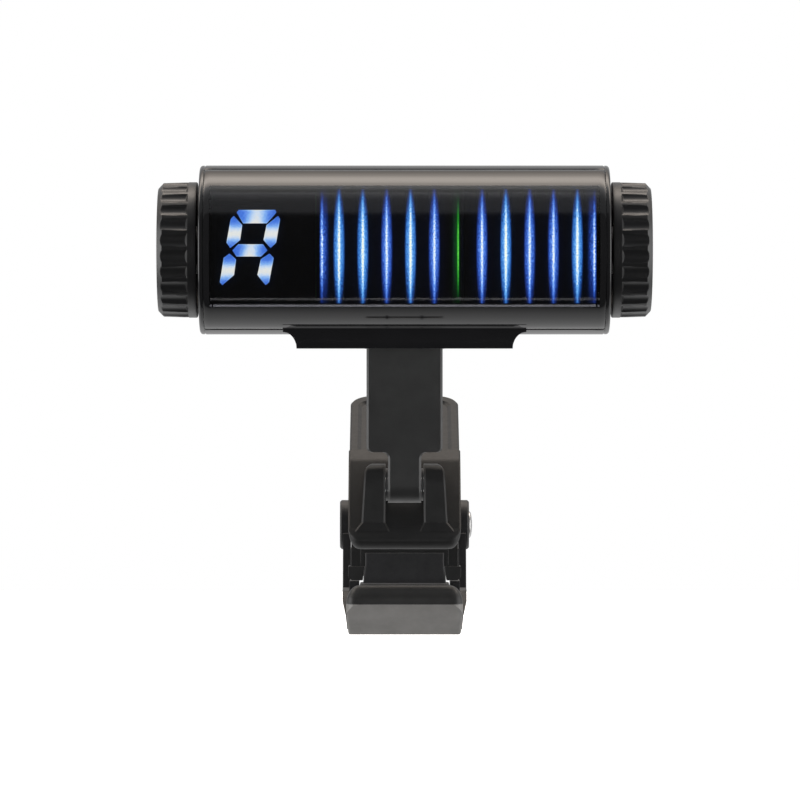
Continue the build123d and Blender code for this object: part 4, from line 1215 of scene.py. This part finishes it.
class TUNER_OT_pivot(Operator):
    """Builds the pivot pin with its domed head, and the torsion spring round it"""
    bl_idname = "tuner.pivot"
    bl_label = "Pivot and Spring"

    def execute(self, context):
        s = context.scene.tuner.clip
        low, high = extent("pivot_pin")
        dome = np.linspace(0, pi / 2, 9)
        rows = [(low[0], 0.02), (low[0], 1.0), (low[0] + 0.15, 1.2), (high[0] - 0.44, 1.2),
                (high[0] - 0.44, 1.88), (high[0] - 0.36, 1.9)]
        rows += [(high[0] - 0.36 + 0.36 * sin(t), max(1.9 * cos(t), 0.02)) for t in dome[1:]]
        angles = np.linspace(0, 2 * pi, 64, endpoint=False)
        pin = loft([around(angles, r, x, PIVOT) for x, r in rows])
        steel = metal("Pin steel", (0.62, 0.61, 0.60), (0.18, 0.3)).material
        make_piece("pivot_pin_look", "clip_base", [pin], steel, ["pivot_pin"])
        turns, length, radius = 7, 8.0, s.spring / MM
        t = np.linspace(0, 1, turns * 28 + 1)
        angle = -pi / 2 + 2 * pi * (turns + 0.5) * t
        helix = around(angle, radius, -length / 2 + length * t, PIVOT)
        lower_end = np.array([-length / 2, 32.0, -4.0])
        upper_end = np.array([length / 2, 33.0, 21.5])
        lead = np.linspace(0, 1, 14)[:-1, None]
        bend = helix[0] + (0, 1.2, 0)
        halfway = 0.5 * lower_end + 0.5 * bend
        lower = (1 - lead) ** 2 * lower_end + 2 * lead * (1 - lead) * halfway + lead ** 2 * helix[0]
        wire = metal("Spring wire", (0.55, 0.54, 0.53), (0.2, 0.34), (1, 1, 1)).material
        coil = tube(np.concatenate([lower, helix]), s.wire / MM / 2)
        leg = eased([helix[-1] - (0.3, 0, 0), helix[-1] + (0, 1.0, 0.3), upper_end], 0.8)
        make_piece("spring_coil_look", "clip_base", [coil], wire, ["clip_spring"])
        make_piece("spring_leg_look", "clip_lever", [tube(leg, s.wire / MM / 2)], wire,
                   ["clip_spring"])
        return {"FINISHED"}


class TUNER_OT_inner_parts(Operator):
    """Gives the parts inside the barrel and the small pins and washers their finishes"""
    bl_idname = "tuner.inner_parts"
    bl_label = "Inner Parts"

    def execute(self, context):
        dress(metal("Screw steel", (0.6, 0.6, 0.61), (0.25, 0.4)).material,
              "end_cap_screws", "head_pin", "arm_pin")
        dress(metal("Return spring wire", (0.55, 0.55, 0.54), (0.25, 0.4)).material,
              "left_return_spring", "right_return_spring")
        dress(circuit_board(), "main_board")
        dress(printed_jacket(), "battery")
        dress(metal("Contact nickel", (0.66, 0.63, 0.58), (0.2, 0.35)).material,
              "positive_contact", "negative_contact")
        dress(metal("Sensor brass", (0.62, 0.43, 0.18), (0.25, 0.4)).material, "vibration_sensor")
        dress(moulded("Lamp white", (0.75, 0.76, 0.74), (0.3, 0.4), 0.1, 3000, 0.01).material, "strobe_leds")
        dress(moulded("Inner black", (0.02, 0.02, 0.022), (0.45, 0.6)).material,
              "battery_tray", "left_knob_shaft", "right_knob_shaft", "left_switch", "right_switch")
        dress(moulded("Washer nylon", (0.03, 0.03, 0.031), (0.4, 0.5)).material, "arm_washers", "head_washers")
        return {"FINISHED"}


# The pieces whose dark shapes are kept out of the reflections in the glossy barrel.
UNDER_THE_BARREL = ("arm", "bosses", "chin", "nose", "deck", "ears", "floor", "handle", "ledges", "lever_walls",
                    "lower_pad", "upper_pad", "side_plates", "spring_coil", "spring_leg")
WARM, PLAIN, COOL = (1.11, 1.0, 0.90), (1.0, 1.0, 1.0), (0.98, 1.0, 1.03)
# Brightness by the turn above straight ahead, in degrees, and by X for the two sides.
LIGHT = [
    (-180, 0.5, PLAIN), (-160, 0.7, PLAIN), (-135, 1.2, PLAIN), (-113, 0.98, PLAIN), (-100, 0.8, PLAIN),
    (-94, 0.61, PLAIN), (-89, 0.42, PLAIN), (-87, 0.04, PLAIN), (0, 0.04, PLAIN), (50, 0.05, PLAIN),
    (52, 0.28, COOL), (72, 0.32, COOL), (80, 0.5, COOL), (88, 0.95, PLAIN), (94, 1.6, PLAIN),
    (100, 3.2, WARM), (106, 4.8, WARM), (113, 4.2, WARM), (121, 2.1, WARM), (130, 0.95, WARM),
    (142, 0.6, PLAIN), (180, 0.5, PLAIN),
]
SIDE_LIGHT = [(-1.0, 3.2), (-0.94, 3.2), (-0.91, 0.5), (-0.7, 0.4),
              (0.7, 0.5), (0.91, 0.8), (0.94, 2.6), (1.0, 2.6)]


def world_light(scene, glow):
    """Soft studio light by direction. The turn above straight ahead is the arctangent of up over
    toward the viewer; it picks a brightness along a ramp, and the two sides are plain white."""
    world = bpy.data.worlds.new("Soft studio")
    scene.world = world
    world.use_nodes = True
    tree = world.node_tree
    tree.nodes.clear()

    def add(kind, inputs=None, **settings):
        node = tree.nodes.new(kind)
        for key, value in settings.items():
            setattr(node, key, value)
        for key, value in (inputs or {}).items():
            if isinstance(value, bpy.types.NodeSocket):
                tree.links.new(value, node.inputs[key])
            else:
                node.inputs[key].default_value = value
        return node

    direction = add("ShaderNodeSeparateXYZ", {"Vector": add("ShaderNodeTexCoord").outputs["Generated"]})
    toward = add("ShaderNodeMath", {0: direction.outputs["Y"], 1: -1.0}, operation="MULTIPLY")
    angle = add("ShaderNodeMath", {0: direction.outputs["Z"], 1: toward.outputs[0]}, operation="ARCTAN2")
    place = add("ShaderNodeMapRange", {"Value": angle.outputs[0], "From Min": -pi, "From Max": pi})
    ramp = add("ShaderNodeValToRGB", {"Fac": place.outputs[0]})
    fill_ramp(ramp.color_ramp, [((turn_to + 180) / 360, [c * level / glow for c in tint])
                                for turn_to, level, tint in LIGHT])
    width = add("ShaderNodeMapRange", {"Value": direction.outputs["X"], "From Min": -1.0, "From Max": 1.0})
    sides = add("ShaderNodeValToRGB", {"Fac": width.outputs[0]})
    fill_ramp(sides.color_ramp, [((x + 1) / 2, level / glow) for x, level in SIDE_LIGHT])
    reach = add("ShaderNodeMath", {0: direction.outputs["X"]}, operation="ABSOLUTE")
    beside = add("ShaderNodeMapRange", {"Value": reach.outputs[0], "From Min": 0.74, "From Max": 0.84})
    blend = add("ShaderNodeMix", data_type="RGBA")
    tree.links.new(beside.outputs[0], blend.inputs["Factor"])
    tree.links.new(ramp.outputs["Color"], blend.inputs[6])
    tree.links.new(sides.outputs["Color"], blend.inputs[7])
    lit = add("ShaderNodeBackground", {"Color": blend.outputs[2], "Strength": glow})
    plain = add("ShaderNodeBackground", {"Strength": 1.0})
    plain.inputs["Color"].default_value = (1, 1, 1, 1)
    seen = add("ShaderNodeLightPath").outputs["Is Camera Ray"]
    either = add("ShaderNodeMixShader", {0: seen, 1: lit.outputs[0], 2: plain.outputs[0]})
    output = add("ShaderNodeOutputWorld")
    tree.links.new(either.outputs[0], output.inputs["Surface"])


class TUNER_OT_stage(Operator):
    """Builds the pale floor, the soft light and the camera"""
    bl_idname = "tuner.stage"
    bl_label = "Stage"

    def execute(self, context):
        scene = context.scene
        s = scene.tuner.stage
        drop = -s.floor / MM
        reach = 900.0
        near, far = -30.0, 2 * reach
        shape = slab(*[[[(-reach, near, z), (reach, near, z)], [(-reach, far, z), (reach, far, z)]]
                       for z in (drop, drop - 2)])
        pale = Shader("Pale floor")
        tone = pale.noise(3, 2.0)
        pale.set(Base_Color=pale.ramp(tone, [(0.3, 0.80), (0.7, 0.84)]), Emission_Color=(1, 1, 1, 1))
        pale.set(Emission_Strength=0.9, Roughness=0.9)
        mesh = bpy.data.meshes.new("floor")
        mesh.from_pydata((shape[0] * MM).tolist(), [], shape[1][0].tolist())
        mesh.materials.append(pale.material)
        floor = bpy.data.objects.new("floor", mesh)
        scene.collection.objects.link(floor)
        floor.visible_glossy = False
        floor.visible_diffuse = False
        floor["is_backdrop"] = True
        for name in bpy.data.objects.keys():
            if name.endswith("_look") and name.split("_look")[0] in UNDER_THE_BARREL:
                bpy.data.objects[name].visible_glossy = False
        world_light(scene, s.glow)
        fill = bpy.data.lights.new("Front fill", "AREA")
        fill.shape, fill.size, fill.energy = "DISK", 0.5, s.fill
        front = bpy.data.objects.new("Front fill", fill)
        front.location = (0, -0.8, 0.0)
        front.rotation_euler = (radians(92), 0, 0)
        front.visible_glossy = front.visible_transmission = front.visible_camera = False
        scene.collection.objects.link(front)
        scene.view_settings.view_transform = "Standard"
        camera = bpy.data.cameras.new("Camera")
        camera.sensor_width = 36.0
        camera.lens = 36.0 * s.distance / s.width
        camera.clip_end = 10.0
        viewer = bpy.data.objects.new("Camera", camera)
        viewer.location = (-0.65 * MM, BARREL_AXIS[0] * MM - s.distance, s.height)
        viewer.rotation_euler = (pi / 2, 0, 0)
        scene.collection.objects.link(viewer)
        scene.camera = viewer
        return {"FINISHED"}


class TUNER_PT_sidebar(Panel):
    """The tuner's settings and its building steps"""
    bl_idname = "TUNER_PT_sidebar"
    bl_label = "Clip-on Tuner"
    bl_space_type = "VIEW_3D"
    bl_region_type = "UI"
    bl_category = "Tuner"

    def draw(self, context):
        settings = context.scene.tuner
        for group in ("barrel", "knob", "display", "clip", "stage"):
            box = self.layout.box()
            box.label(text=group.title())
            part = getattr(settings, group)
            for name in part.__annotations__:
                box.prop(part, name)
        for step in STEPS:
            self.layout.operator(step.bl_idname)


SETTINGS = (TunerBarrelSettings, TunerKnobSettings, TunerDisplaySettings, TunerClipSettings, TunerStageSettings,
            TunerSettings)
STEPS = (TUNER_OT_cover, TUNER_OT_shell, TUNER_OT_battery_door, TUNER_OT_end_caps, TUNER_OT_knobs,
         TUNER_OT_display, TUNER_OT_arm, TUNER_OT_upper_lever, TUNER_OT_lower_lever, TUNER_OT_jaws,
         TUNER_OT_pivot, TUNER_OT_inner_parts, TUNER_OT_stage)


def register():
    for kind in SETTINGS + STEPS + (TUNER_PT_sidebar,):
        bpy.utils.register_class(kind)
    bpy.types.Scene.tuner = PointerProperty(type=TunerSettings)


def unregister():
    del bpy.types.Scene.tuner
    for kind in reversed(SETTINGS + STEPS + (TUNER_PT_sidebar,)):
        bpy.utils.unregister_class(kind)


def main():
    register()
    for step in STEPS:
        group, name = step.bl_idname.split(".")
        getattr(getattr(bpy.ops, group), name)()
    sizes = {"at_load": BOUNDS_AT_LOAD, "at_finish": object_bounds()}
    sizes = {key: [[float(n) for n in corner] for corner in value] for key, value in sizes.items()}


if __name__ == "__main__":
    main()
